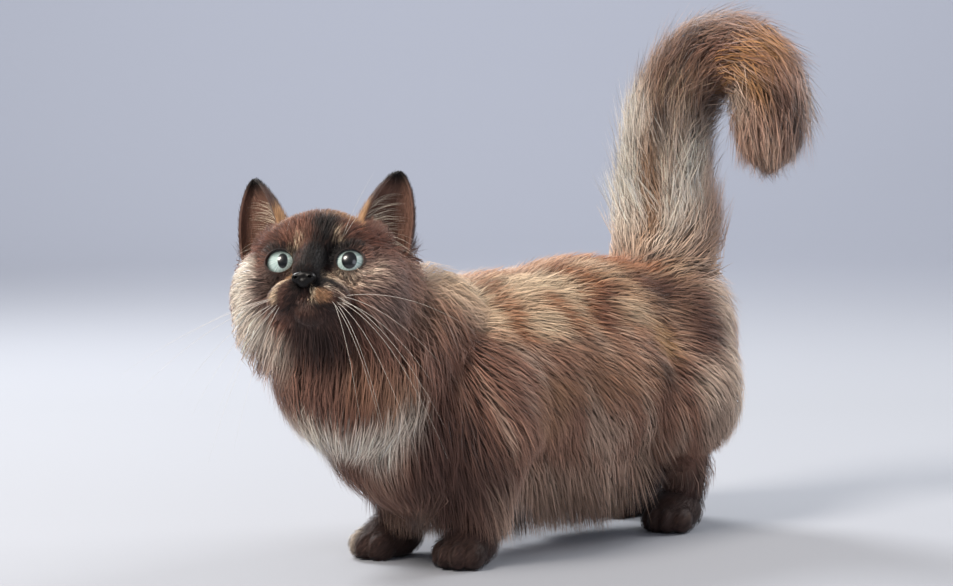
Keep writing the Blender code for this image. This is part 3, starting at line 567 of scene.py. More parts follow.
def coat_sizes(points, shares):
    """Length, width, lift and hang of the tufts that grow at each point."""
    x, y, z = points.T
    q = in_head(points)
    torso, neck, head, tail, leg, foot, ear = shares
    chest = smooth_share(y, -0.09, -0.15)
    low = smooth_share(z, 0.125, 0.09)
    belly = smooth_share(z, 0.088, 0.062) * smooth_share(y, -0.175, -0.13) * smooth_share(y, 0.085, 0.05)
    rump = smooth_share(y, 0.1, 0.145)
    from_nose = np.linalg.norm(points - NOSE_POINT, axis=1)
    face = 0.0038 + 0.0045 * smooth_share(from_nose, 0.012, 0.045)
    face = face + 0.005 * smooth_share(from_nose, 0.05, 0.07)
    side = smooth_share(q[:, 1], -0.016, 0.016) * smooth_share(q[:, 2], 0.022, -0.006)
    jowl = smooth_share(q[:, 2], -0.012, -0.034) * smooth_share(q[:, 1], -0.036, -0.014)
    temple = smooth_share(np.abs(q[:, 0]), 0.034, 0.046) * smooth_share(q[:, 1], -0.006, 0.012)
    ruff = np.maximum(np.maximum(side, jowl), 0.6 * temple)
    for eye in SIDES:
        face = face * (0.45 + 0.55 * smooth_share(eye_distance(points, eye)[0], 0.008, 0.02))
    face = face * (1 - ruff) + 0.028 * ruff + 0.01 * jowl
    face_lift = 0.0017 + 0.0036 * smooth_share(from_nose, 0.015, 0.05) + 0.011 * ruff + 0.004 * jowl
    cup = 0.0052 - 0.0026 * smooth_share(ear_place(points)[0], 0.75, 0.95)
    along = line_distance(points, TAIL_LINE)[1]
    plume = (0.05 - 0.0018 * along) * (1 - 0.4 * smooth_share(along, 7.3, 9.0))
    plume_lift = 0.028 + 0.004 * smooth_share(along, 1.6, 0.4) - 0.006 * smooth_share(along, 7.0, 9.0)
    length = (
        torso * (0.023 + 0.008 * chest + 0.005 * low + 0.05 * belly + 0.006 * rump)
        + neck * 0.032 + head * face + tail * plume + leg * 0.012 + foot * 0.0055 + ear * cup
    )
    lift = (
        torso * (0.0145 + 0.005 * chest - 0.008 * belly + 0.001 * rump)
        + neck * 0.019 + head * face_lift + tail * plume_lift
        + leg * 0.0045 + foot * 0.0022 + ear * 0.0015
    )
    width = (
        torso * (0.00072 + 0.0003 * belly) + neck * 0.0007 + head * (0.00044 + 0.0002 * ruff)
        + tail * 0.00066 + leg * 0.0006 + foot * 0.00045 + ear * 0.00036
    )
    hang = (
        torso * (0.3 * chest + 0.2 * low + 0.65 * belly + 0.2 * rump)
        + neck * 0.26 + head * (0.08 * ruff + 0.3 * jowl)
    )
    return length, width, lift, np.clip(hang, 0, 0.9)


def coat_floor(points):
    """How low the long hair may hang: above the hocks, over the forelegs and lowest at the belly."""
    y = points[:, 1]
    fore = 0.009 * smooth_share(y, -0.085, -0.105) + 0.005 * smooth_share(y, -0.12, -0.15)
    return 0.002 + fore + 0.005 * smooth_share(y, -0.01, 0.035) + 0.044 * smooth_share(y, 0.04, 0.066)


# Colours of the coat in the plain light of the studio.
COAT = {
    "fawn": "#B48B6A",
    "cream": "#DEC3A3",
    "pale": "#DBC2AC",
    "mauve": "#A57A67",
    "rust": "#9A6240",
    "brown": "#785142",
    "dark": "#46302A",
    "umber": "#583D34",
    "seal": "#3F2C26",
    "black": "#141010",
    "auburn": "#572F22",
    "gold": "#C2966A",
    "amber": "#C08A4E",
    "tan": "#AC8260",
    "ivory": "#F8E6D2",
    # Snow is white fur brightened further as painted light where the key light falls: on the bib, the right
    # cheek and the tail's left edge.
    "snow_with_painted_light": "#FFF0DE",
    "grey": "#8A7870",
}
COAT = {name: np.array(linear(colour)) for name, colour in COAT.items()}

# Marks, in millimetres: colour, strength, radius, how far they break up, and the points of their line.
# Those of the body are the same on both sides.
BODY_MARKS = [
    ("rust", 0.85, 12, 0.3, ((0, -110, 172), (0, 0, 188), (0, 100, 188))),
    ("cream", 0.9, 15, 0.2, ((18, -100, 168), (30, -50, 172), (28, -20, 174))),
    ("cream", 0.85, 13, 0.2, ((46, -88, 150), (50, -50, 148), (48, -20, 150))),
    ("rust", 1.0, 8.5, 0, ((18, -72, 176), (38, -73, 162), (58, -76, 141))),
    ("rust", 1.0, 9.5, 0, ((16, -2, 182), (36, 18, 167))),
    ("rust", 1.0, 9, 0, ((28, 10, 170), (50, 0, 150))),
    ("rust", 0.95, 8.5, 0, ((38, -36, 163), (54, -22, 145))),
    ("brown", 0.85, 11, 0.2, ((21, -114, 160), (56, -122, 138))),
    ("brown", 0.85, 10, 0.2, ((61, -108, 135), (67, -92, 106))),
    ("pale", 0.75, 5.5, 0.2, ((57, -99, 132), (61, -109, 116))),
    ("rust", 0.95, 12, 0.2, ((14, 50, 184), (19, 80, 184), (21, 112, 181))),
    ("brown", 0.9, 9, 0.2, ((34, 60, 172), (44, 80, 162))),
    ("brown", 0.95, 9, 0.1, ((36, 20, 165), (52, 6, 148))),
    ("cream", 0.9, 10, 0.2, ((43, 34, 154), (46, 40, 148))),
    ("brown", 1.0, 12, 0.1, ((34, 116, 168), (46, 108, 154), (60, 90, 124))),
    ("gold", 0.95, 8.5, 0.1, ((50, 56, 137), (54, 62, 124))),
    ("dark", 0.85, 8, 0.1, ((56, 44, 118), (60, 50, 106))),
    ("brown", 0.85, 10, 0.2, ((67, 72, 112), (67, 76, 92))),
    ("pale", 0.95, 15, 0.1, ((46, 136, 155), (60, 124, 117), (58, 126, 76))),
    ("seal", 0.97, 27, 0.1, ((6, -228, 146), (22, -212, 130))),
    ("umber", 0.8, 24, 0.3, ((40, 82, 156), (54, 100, 138))),
    ("pale", 0.9, 24, 0.3, ((66, 102, 92), (62, 116, 70))),
    ("tan", 0.45, 22, 0.4, ((66, -30, 112), (66, 30, 106))),
    ("tan", 0.6, 15, 0.3, ((38, -205, 120), (50, -180, 104))),
    ("umber", 0.95, 20, 0.1, ((4, -228, 116), (14, -222, 104))),
    # The bib: white fur, brightened further as painted light.
    ("snow_with_painted_light", 1.0, 15, 0.1, ((0, -206, 74), (14, -198, 66), (28, -184, 70))),
    ("ivory", 0.85, 12, 0.2, ((28, -184, 74), (46, -168, 88))),
    ("umber", 0.9, 26, 0.1, ((50, -140, 75), (44, -105, 45))),
    ("umber", 0.95, 24, 0.1, ((36, -136, 45), (40, -115, 25))),
    ("tan", 0.65, 16, 0.4, ((60, -60, 100), (60, -50, 70))),
    ("umber", 0.8, 16, 0.2, ((34, 85, 45), (36, 110, 36))),
]
# Marks of the face and ears, in the head's own frame; X is the cat's left.
HEAD_MARKS = [
    ("auburn", 0.95, 19, 0.15, ((-30, -12, 30), (36, -10, 28))),
    ("grey", 0.75, 15, 0.3, ((-36, -28, -11), (-32, -35, -20))),
    ("grey", 0.65, 20, 0.3, ((44, -22, -10), (44, -10, -24))),
    ("dark", 0.85, 13, 0.1, ((-12, -44, -22), (14, -44, -22))),
    ("seal", 1.0, 24, 0.1, ((9, -28, -38), (4, -12, -48))),
    ("dark", 0.9, 11, 0.3, ((12, -14, 40), (9, -30, 31))),
    ("dark", 0.6, 8, 0.4, ((-22, -30, 18), (-36, -22, 12))),
    ("dark", 0.6, 8, 0.4, ((26, -30, 18), (40, -22, 12))),
    ("black", 1.0, 10, 0.15, ((9, -31, 29), (9, -38, 15), (6, -46, -1))),
    ("black", 1.0, 12, 0.1, ((7, -44, 1), (3, -56, -12))),
    ("black", 0.85, 6.5, 0.3, ((10, -50, -10), (18, -46, -17))),
    ("black", 0.75, 7.5, 0.4, ((-22, -40, -12), (-32, -35, -12))),
    ("black", 0.8, 5, 0.2, ((-4, -53, -18), (-9, -49, -23))),
    ("black", 0.9, 5.5, 0.2, ((6, -53, -16), (15, -49, -16))),
    ("black", 0.85, 9, 0.3, ((-6, -40, 2), (-4, -50, -10))),
    ("black", 0.95, 4.6, 0.1, ((12, -40, 6), (20, -36, 13), (29, -31, 14))),
    ("black", 0.9, 4, 0.1, ((-12, -38, 6), (-20, -36, 13), (-29, -31, 14))),
    ("cream", 0.75, 4.8, 0.95, ((-6, -34, 20), (-9, -37, 10), (-10, -38, 0))),
    ("gold", 0.9, 3.4, 0.4, ((-12, -40, -3), (-15, -46, -12))),
    ("cream", 0.9, 3.6, 0.4, ((-15, -46, -12), (-21, -48, -24))),
    ("cream", 0.7, 3.6, 0.9, ((17, -35, 18), (18, -32, 24))),
    ("cream", 0.9, 7, 0.85, ((16, -40, -9), (24, -38, -9))),
    ("pale", 0.75, 8, 0.8, ((24, -38, -11), (42, -26, -4))),
    # The right cheek: white fur, brightened further as painted light.
    ("snow_with_painted_light", 1.0, 13.5, 0.2, ((-48, -19, 0), (-48, -16, -18), (-44, -12, -36))),
    ("ivory", 0.9, 17, 0.2, ((-44, -4, -38), (-38, -4, -60))),
    ("tan", 0.95, 4.2, 0.3, ((8, -51, -23.5), (12, -50, -24))),
    ("cream", 0.95, 2.2, 0.1, ((5, -52, -20), (3.6, -51, -23.5), (4.6, -50, -27))),
    ("pale", 0.95, 2.4, 0.1, ((15, -50, -19.5), (19, -47, -22), (23, -43, -26))),
    ("black", 0.95, 2, 0, ((0.2, -53, -19), (0.5, -51, -26))),
    ("black", 0.85, 1.8, 0.1, ((0.5, -50, -27.5), (8, -47, -29), (16, -42, -29))),
    ("black", 0.85, 1.8, 0.1, ((0.5, -50, -27.5), (-8, -47, -29), (-16, -42, -29))),
]
# Marks of the tail: distances to the right of its shaft, as seen from the cat's left, and heights.
TAIL_MARKS = [
    # The snow marks of the tail are white fur, brightened further as painted light on the side towards the
    # key light.
    ("snow_with_painted_light", 1.0, 12.5, 0.1, ((-28, 302), (-34, 262), (-36, 215))),
    ("brown", 0.9, 8.5, 0.1, ((8, 330), (32, 326), (50, 322))),
    ("dark", 0.85, 5.5, 0.2, ((-11, 272), (-4, 300), (8, 325), (18, 345))),
    ("dark", 0.75, 6, 0.3, ((26, 345), (36, 330))),
    ("cream", 0.7, 5, 0.4, ((2, 312), (10, 300))),
    ("snow_with_painted_light", 0.95, 10, 0.1, ((20, 266), (6, 238), (-10, 190))),
    ("tan", 0.95, 6.5, 0.2, ((-18, 272), (-15, 240), (-12, 205))),
    ("mauve", 0.55, 11, 0.1, ((40, 258), (41, 200))),
    ("dark", 0.95, 9, 0.1, ((22, 290), (34, 294), (38, 272))),
    ("pale", 0.7, 6, 0.2, ((46, 312), (47, 268))),
    ("amber", 1.0, 7.5, 0.1, ((52, 300), (62, 322), (78, 324))),
    ("amber", 1.0, 6, 0.1, ((56, 296), (66, 282))),
    ("dark", 0.9, 10.5, 0.1, ((68, 284), (77, 272), (82, 262))),
    ("pale", 0.6, 5.5, 0.2, ((98, 300), (98, 262))),
    ("pale", 0.5, 5, 0.2, ((58, 242), (86, 242))),
]
# Pale toes.
TOE_MARKS = [
    ("ivory", 0.95, 12, 0.4, ((-49, -139, 8), (-50, -124, 10))),
    ("tan", 1.0, 4.5, 0.3, ((46, 78, 9), (46, 82, 10))),
]


def mottling(points, size, seed):
    """Soft noise from 0 to 1; size is the size of a blotch along each axis."""
    offset = np.array((7.31, 3.17, 5.77)) * seed
    return 0.5 + 0.5 * np.array([noise.noise(spot) for spot in (points / np.array(size) + offset).tolist()])


def mix(colours, name, weight):
    """Colours with a share of one of the coat's."""
    return colours * (1 - weight[:, None]) + COAT[name] * weight[:, None]


def along_marks(points, stops):
    """Distance from the line through some points."""
    best = np.full(len(points), 1.0)
    for a, b in zip(stops, stops[1:]):
        t = np.clip((points - a) @ (b - a) / ((b - a) @ (b - a)), 0, 1)
        best = np.minimum(best, np.linalg.norm(points - (a + t[:, None] * (b - a)), axis=1))
    return best


def add_marks(colours, points, marks, speckle):
    """Paints marks over colours; speckle, from 0 to 1, is what breaks them up."""
    for name, strength, radius, broken, stops in marks:
        far = along_marks(points, np.array(stops, float) / 1000)
        radius /= 1000
        weight = strength * (1 - smooth_share(far, radius * 0.6, radius * 1.4))
        weight = weight * (1 - broken + broken * smooth_share(speckle, 0.35, 0.65))
        colours = mix(colours, name, weight)
    return colours


def markings(points, shares, chance):
    """Colour of the coat at each point; chance, from 0 to 1, sets where the flecks of the face fall."""
    x, y, z = points.T
    torso, neck, head, tail, leg, foot, ear = shares
    q = in_head(points)
    patch = mottling(points, (0.022, 0.022, 0.022), 1)
    fine = mottling(points, (0.004, 0.004, 0.004), 2)
    slant = mottling(vectors(x, y + 0.6 * z, z - 0.6 * y), (0.03, 0.013, 0.06), 3)
    streak = mottling(points, (0.005, 0.03, 0.005), 4)
    trunk = torso + neck

    body = np.tile(COAT["fawn"], (len(points), 1))
    body = mix(body, "cream", 0.75 * smooth_share(z, 0.14, 0.168) * smooth_share(y, 0.06, -0.02))
    body = mix(body, "mauve", 0.85 * smooth_share(z, 0.165, 0.12))
    body = mix(body, "pale", 0.42 * smooth_share(slant, 0.52, 0.66))
    body = mix(body, "brown", 0.48 * smooth_share(slant, 0.48, 0.34) * smooth_share(z, 0.06, 0.1))
    body = mix(body, "rust", 0.45 * smooth_share(patch, 0.5, 0.7) * smooth_share(z, 0.14, 0.165))
    body = mix(body, "cream", 0.45 * smooth_share(streak, 0.52, 0.7) * smooth_share(z, 0.12, 0.16))
    body = mix(body, "pale", 0.45 * smooth_share(z, 0.055, 0.025))
    front = smooth_share(y, -0.095, -0.135) * smooth_share(z, 0.175, 0.15)
    body = mix(body, "brown", front * (0.55 + 0.35 * smooth_share(patch, 0.3, 0.6)))
    both = np.stack([np.abs(x), y, z], axis=1)
    body = add_marks(body, both, BODY_MARKS, patch)

    strand = 0.25 * fine + 0.75 * chance
    face = np.tile(COAT["brown"], (len(points), 1))
    face = mix(face, "mauve", 0.7 * smooth_share(q[:, 1], -0.01, 0.02) * smooth_share(q[:, 2], 0.01, -0.01))
    face = add_marks(face, q, HEAD_MARKS, strand)
    for side in (1, -1):
        face = mix(face, "black", 0.75 * smooth_share(eye_distance(points, side)[0], 0.0145, 0.0105))

    across = (points - np.array((0, 0.118, 0))) @ np.array((0.7071, 0.7071, 0))
    strands = mottling(points, (0.004, 0.004, 0.03), 5)
    high = smooth_share(z, 0.272, 0.305)
    plume = np.tile(COAT["pale"] * 0.4 + COAT["ivory"] * 0.6, (len(points), 1))
    # The tail's left edge: white fur, brightened further as painted light on the side towards the key light.
    plume = mix(plume, "snow_with_painted_light", 0.95 * smooth_share(across, 0.0, -0.018) * (1 - high))
    plume = mix(plume, "tan", 0.5 * smooth_share(strands, 0.5, 0.64) * (1 - high))
    plume = mix(plume, "mauve", 0.38 * smooth_share(across, 0.014, 0.032) * (1 - high))
    plume = mix(plume, "brown", 0.8 * high)
    plume = mix(plume, "tan", 0.6 * high * smooth_share(strands, 0.45, 0.62))
    plume = mix(plume, "mauve", 0.75 * smooth_share(x, 0.05, 0.065))
    plume = add_marks(plume, np.stack([across, z], axis=1), TAIL_MARKS, strands)

    limbs = np.tile(COAT["seal"], (len(points), 1))
    limbs = mix(limbs, "umber", 0.7 * smooth_share(z, 0.015, 0.03))
    limbs = mix(limbs, "brown", 0.9 * smooth_share(z, 0.025, 0.055) * smooth_share(patch, 0.25, 0.5))
    limbs = add_marks(limbs, points, TOE_MARKS, fine)

    t, ring, ex, _ = ear_place(points)
    cup = np.tile(COAT["dark"], (len(points), 1))
    cup = mix(cup, "mauve", 0.45 * smooth_share(ring, 1.02, 0.94))
    cup = mix(cup, "black", smooth_share(t, 0.78, 0.97))
    cup = mix(cup, "gold", 0.85 * smooth_share(ex, -0.0135, -0.017) * smooth_share(t, 0.92, 0.7))
    parts = (body * trunk[:, None], face * head[:, None], plume * tail[:, None])
    return sum(parts) + limbs * (leg + foot)[:, None] + cup * ear[:, None]


def rows_of(items, field, width, kind=np.float32):
    """One field of all the items of a mesh, as rows of numbers."""
    values = np.empty(len(items) * width, kind)
    items.foreach_get(field, values)
    return values.reshape(-1, width).astype(int if kind is np.int32 else float)


def density(points, zones):
    """How many tufts the coat needs at each point of some zones; the low body has more."""
    shares = zone_shares(points)
    length, width = coat_sizes(points, shares)[:2]
    mine = np.isin(np.argmax(shares, axis=0), zones)
    fuller = 1 + BELLY_FULLER * np.isin(0, zones) * smooth_share(points[:, 2], 0.08, 0.06)
    return mine * fuller / (length * width)


def sample_roots(skin, count, zones):
    """Random roots over some zones of the skin: place, normal and place on its unwrap."""
    mesh = skin.data
    mesh.calc_loop_triangles()
    corners = rows_of(mesh.loop_triangles, "vertices", 3, np.int32)
    loops = rows_of(mesh.loop_triangles, "loops", 3, np.int32)
    spots = rows_of(mesh.vertices, "co", 3)
    turned = rows_of(mesh.vertices, "normal", 3)
    flat = rows_of(mesh.uv_layers["OFBake"].data, "uv", 2)
    a, b, c = (spots[corners[:, i]] for i in range(3))
    area = np.linalg.norm(np.cross(b - a, c - a), axis=1) / 2
    weight = area * density((a + b + c) / 3, zones)
    wanted = rng.choice(len(area), size=count, p=weight / weight.sum())
    r1, r2 = rng.random(count), rng.random(count)
    over = r1 + r2 > 1
    r1, r2 = np.where(over, 1 - r1, r1), np.where(over, 1 - r2, r2)
    shares = np.stack([1 - r1 - r2, r1, r2], axis=1)
    place = np.einsum("ni,nij->nj", shares, spots[corners[wanted]])
    facing = unit(np.einsum("ni,nij->nj", shares, turned[corners[wanted]]))
    uv = np.einsum("ni,nij->nj", shares, flat[loops[wanted]])
    return place, facing, uv


def tuft_paths(surface, roots, normals, sizes, stops):
    """Points of each tuft from root to tip, and the way the coat faces there."""
    length, width, lift, hang = sizes
    count = len(roots)
    places = np.empty((count, len(stops), 3))
    facings = np.empty((count, len(stops), 3))
    place, facing = roots.copy(), normals.copy()
    turn = rng.normal(0, STRAY_TURN, count)
    before = 0.0
    for k, share in enumerate(stops):
        if k:
            way = coat_lie(place, zone_shares(place))
            droop = (hang * share)[:, None]
            way = way * (1 - droop) + np.array((0, 0, -1.0)) * droop
            way = unit(way - facing * np.sum(way * facing, axis=1, keepdims=True) * (1 - hang)[:, None])
            way = way * np.cos(turn)[:, None] + np.cross(facing, way) * np.sin(turn)[:, None]
            ahead = place + way * (length * (share - before))[:, None]
            near = np.empty_like(ahead)
            turned = np.empty_like(ahead)
            for i, spot in enumerate(ahead):
                near[i], turned[i] = surface.find_nearest(spot)[:2]
            place = near * (1 - hang)[:, None] + ahead * hang[:, None]
            facing = unit(facing * 0.3 + turned * 0.7)
        before = share
        places[:, k] = place
        facings[:, k] = facing
    heights = -ROOT_SUNK + (lift[:, None] + ROOT_SUNK) * np.array(RISE)[None, :]
    return places + facings * heights[:, :, None], facings


def clump(paths, strength, every):
    """Draws tufts together with a neighbour's tip, so that the coat parts in wisps."""
    count = len(paths)
    leaders = rng.choice(count, size=max(1, count // every), replace=False)
    tree = KDTree(len(leaders))
    for i, leader in enumerate(leaders):
        tree.insert(paths[leader, 0], i)
    tree.balance()
    own = np.array([leaders[tree.find(root)[1]] for root in paths[:, 0]])
    pull = strength * rng.uniform(0.4, 1.0, count)
    steps = np.linspace(0, 1, paths.shape[1]) ** 1.5
    return paths + (paths[own] - paths) * (pull[:, None] * steps[None, :])[:, :, None], own


# A tuft's height as a share of its width, its painted shade at the root and painted light at the tip, its
# fullness from root to tip, its patch on the unwrap, how deep its root is sunk, its rise at each point, and
# how far it strays from the lie, in radians.
TUFT_FLATNESS = 0.25
ROOT_SHADE_TIP_LIGHT = {2: (0.78, 1.09), 3: (0.7, 0.95, 1.11)}
FULLNESS = {2: (1.0,), 3: (0.8, 1.0)}
PATCH = 0.003
ROOT_SUNK = 0.0004
STOPS, RISE = (0, 0.42, 1.0), (0.0, 0.8, 1.0)
STRAY_TURN = 0.1


def tuft_faces(bends):
    """Triangles of a closed three-sided tuft: a ring of three points at each bend, and one at its tip."""
    faces = [(0, 1, 2)]
    for ring in range(bends - 1):
        low = 3 * ring
        for a, b in ((1, 0), (2, 1), (0, 2)):
            faces += [(low + a, low + b, low + 3 + b), (low + a, low + 3 + b, low + 3 + a)]
    last = 3 * (bends - 1)
    tip = last + 3
    return np.array(faces + [(last + 1, last, tip), (last + 2, last + 1, tip), (last, last + 2, tip)])


def paint(mesh, colours):
    """Gives each point of a mesh its colour, as the attribute that the fur's finish reads."""
    layer = mesh.color_attributes.new(name="Coat", type="FLOAT_COLOR", domain="POINT")
    values = np.concatenate([colours, np.ones((len(colours), 1))], axis=1)
    layer.data.foreach_set("color", values.reshape(-1).astype(np.float32))


def build_tufts(name, paths, facings, width, uv, colours):
    """One mesh of closed three-sided tufts that taper to a point.

    Their shading normals lean towards the way that the coat faces, as light goes through fine hair.
    """
    count, stops = paths.shape[:2]
    bends = stops - 1
    size = 3 * bends + 1
    ways = unit(np.gradient(paths, axis=1))
    across = unit(np.cross(ways, facings))
    up = unit(np.cross(across, ways))
    verts = np.empty((count, size, 3))
    turned = np.empty_like(verts)
    for ring, share in enumerate(FULLNESS[stops]):
        half = (width * share / 2)[:, None]
        side, top = across[:, ring], up[:, ring]
        verts[:, 3 * ring] = paths[:, ring] - side * half
        verts[:, 3 * ring + 1] = paths[:, ring] + side * half
        verts[:, 3 * ring + 2] = paths[:, ring] + top * half * 2 * TUFT_FLATNESS
        turned[:, 3 * ring] = unit(top - 0.5 * side)
        turned[:, 3 * ring + 1] = unit(top + 0.5 * side)
        turned[:, 3 * ring + 2] = top
    verts[:, -1] = paths[:, -1]
    turned[:, -1] = up[:, -1]
    verts[:, :, 2] = np.maximum(verts[:, :, 2], 0.0003)
    faces = tuft_faces(bends)
    corners = (faces[None] + (np.arange(count) * size)[:, None, None]).reshape(-1)
    mesh = bpy.data.meshes.new(name)
    mesh.vertices.add(count * size)
    mesh.vertices.foreach_set("co", verts.reshape(-1).astype(np.float32))
    mesh.loops.add(len(corners))
    mesh.loops.foreach_set("vertex_index", corners.astype(np.int32))
    mesh.polygons.add(len(corners) // 3)
    mesh.polygons.foreach_set("loop_start", np.arange(0, len(corners), 3, dtype=np.int32))
    mesh.update(calc_edges=True)
    mesh.polygons.foreach_set("use_smooth", np.ones(len(corners) // 3, bool))
    mesh.normals_split_custom_set_from_vertices(turned.reshape(-1, 3))
    wanted = [k for k in range(bends) for _ in range(3)] + [bends]
    # Painted shade darkens each tuft towards its root, and painted light brightens its tip.
    shade = np.array(ROOT_SHADE_TIP_LIGHT[stops])[wanted]
    paint(mesh, np.clip(colours[:, wanted] * shade[None, :, None], 0, 1).reshape(-1, 3))
    spread = [(x, ring / bends - 0.5) for ring in range(bends) for x in (-0.5, 0.5, 0)] + [(0, 0.5)]
    places = np.clip(uv[:, None, :] + PATCH * np.array(spread)[None], 0, 1).reshape(-1, 2)
    flat = mesh.uv_layers.new(name="OFBake")
    flat.data.foreach_set("uv", places[corners].reshape(-1).astype(np.float32))
    return new_object(name, mesh)


def node(tree, kind, settings=None, links=None):
    """Adds a node with its settings. What feeds its sockets is another socket, or a node's first one."""
    made = tree.nodes.new(kind)
    for key, value in (settings or {}).items():
        if isinstance(key, str) and hasattr(made, key):
            setattr(made, key, value)
        else:
            made.inputs[key].default_value = value
    for key, source in (links or {}).items():
        socket = source.outputs[0] if isinstance(source, bpy.types.Node) else source
        tree.links.new(socket, made.inputs[key])
    return made


def new_material(name, settings):
    """A material whose shader has these constant values."""
    material = bpy.data.materials.new(name)
    material.use_nodes = True
    shader = material.node_tree.nodes["Principled BSDF"]
    for key, value in settings.items():
        shader.inputs[key].default_value = value
    return material, material.node_tree, shader


def add_grain(tree, shader, tint, grain, detail, uneven, strength, depth):
    """Varies a tint by a fine grain of a real size in metres, which also stands up by depth in metres."""
    spot = node(tree, "ShaderNodeTexCoord")
    speck = node(tree, NOISE, {"Scale": 1 / grain, "Detail": detail}, {"Vector": spot.outputs["Object"]})
    tones = {"From Min": 0.3, "From Max": 0.7, "To Min": 1 - uneven, "To Max": 1 + uneven}
    tone = node(tree, MAP_RANGE, tones, {"Value": speck})
    varied = node(tree, VECTOR_MATH, {"operation": "MULTIPLY"}, {1: tone})
    if isinstance(tint, bpy.types.Node):
        tree.links.new(tint.outputs[0], varied.inputs[0])
    else:
        varied.inputs[0].default_value = tint
    tree.links.new(varied.outputs[0], shader.inputs["Base Color"])
    if depth:
        bump = node(tree, "ShaderNodeBump", {"Strength": strength, "Distance": depth}, {"Height": speck})
        tree.links.new(bump.outputs[0], shader.inputs["Normal"])


def fur_material(name, roughness, sheen):
    """Fur: soft, with a broad dull shine, a pale rim against the light and fine uneven hairs in each tuft."""
    settings = {
        "Roughness": roughness, "Specular IOR Level": 0.25, "Sheen Weight": sheen, "Sheen Roughness": 0.5
    }
    material, tree, shader = new_material(name, settings)
    coat = node(tree, "ShaderNodeAttribute", {"attribute_name": "Coat"})
    # Single hairs are about 0.06 mm; 0.5 mm is the finest that shows here.
    add_grain(tree, shader, coat, 0.0005, 2.0, 0.12, 0.25, 0.0002)
    return material


def plain_material(name, colour, roughness, coat=0.0, grain=0.0004, depth=0.0, uneven=0.06, shine=0.5):
    """A plain finish whose tone varies a little and whose surface has a grain of a real size in metres."""
    settings = {"Roughness": roughness, "Coat Weight": coat, "Specular IOR Level": shine}
    material, tree, shader = new_material(name, settings)
    add_grain(tree, shader, linear(colour), grain, 3.0, uneven, 0.6, depth)
    return material


def eye_material(name, pupil_width, pupil_height):
    """Wet eye: a pale aqua iris with fine rays, a dark rim and an upright pupil, under a clear cornea."""
    settings = {"Roughness": 0.3, "Coat Weight": 1.0, "Coat Roughness": 0.02, "Coat IOR": 1.376}
    material, tree, shader = new_material(name, settings)
    soft = {"interpolation_type": "SMOOTHSTEP"}
    gaze = node(tree, "ShaderNodeUVMap", {"uv_map": "Gaze"})
    centred = node(tree, VECTOR_MATH, {"operation": "SUBTRACT", 1: (0.5, 0.5, 0)}, {0: gaze})
    slim = (1 / pupil_width, 1 / pupil_height, 0)
    oval = node(tree, VECTOR_MATH, {"operation": "MULTIPLY", 1: slim}, {0: centred})
    pupil = node(tree, VECTOR_MATH, {"operation": "LENGTH"}, {0: oval})
    edge = {**soft, "From Min": 0.93, "From Max": 1.07}
    pupil_edge = node(tree, MAP_RANGE, edge, {"Value": pupil.outputs["Value"]})
    reach = node(tree, VECTOR_MATH, {"operation": "LENGTH"}, {0: centred})
    edge = {**soft, "From Min": 0.3, "From Max": 0.46}
    rim = node(tree, MAP_RANGE, edge, {"Value": reach.outputs["Value"]})
    way = node(tree, VECTOR_MATH, {"operation": "NORMALIZE"}, {0: centred})
    rays = node(tree, NOISE, {"Scale": 9.0, "Detail": 4.0}, {"Vector": way})
    ramp = node(tree, MAP_RANGE, {"From Min": 0.35, "From Max": 0.65}, {"Value": rays})
    shades = {"data_type": "RGBA", 6: (*linear("#9DB9B4"), 1), 7: (*linear("#D3E2DE"), 1)}
    iris = node(tree, MIX, shades, {"Factor": ramp})
    shades = {"data_type": "RGBA", 6: (*linear("#05070C"), 1)}
    with_pupil = node(tree, MIX, shades, {"Factor": pupil_edge, 7: iris.outputs[2]})
    height = node(tree, "ShaderNodeSeparateXYZ", {}, {0: gaze})
    # The upper lid shades the top of the eye.
    shade = {**soft, "From Min": 0.55, "From Max": 0.8, "To Min": 1.0, "To Max": 0.16}
    lid_shade = node(tree, MAP_RANGE, shade, {"Value": height.outputs[1]})
    dimmed = node(tree, VECTOR_MATH, {"operation": "MULTIPLY"}, {0: with_pupil.outputs[2], 1: lid_shade})
    shades = {"data_type": "RGBA", 7: (*linear("#24302F"), 1)}
    with_rim = node(tree, MIX, shades, {"Factor": rim, 6: dimmed})
    tree.links.new(with_rim.outputs[2], shader.inputs["Base Color"])
    return material


def make_eye(side):
    """An eyeball whose iris faces the way that the cat looks."""
    eye = ball((0, 0, 0), (EYE_RADIUS,) * 3, 0, BODY, 0, EYE_RINGS)
    eye.name = f"eyeball_{SIDES[side]}"
    flat = eye.data.uv_layers.new(name="Gaze")
    for loop in eye.data.loops:
        spot = eye.data.vertices[loop.vertex_index].co / EYE_RADIUS
        flat.data[loop.index].uv = (0.5 + spot.x / 2, 0.5 + spot.z / 2)
    for vert in eye.data.vertices:
        vert.co.y -= CORNEA * float(smooth_share(-vert.co.y / EYE_RADIUS, 0.78, 1.0))
    look = Euler((math.radians(GAZE_PITCH), 0, math.radians(GAZE_YAW))).to_matrix().to_4x4()
    eye.data.transform(HEAD @ Matrix.Translation(on_side(side, EYE_CENTRES[side])) @ look)
    eye.data.shade_smooth()
    return eye


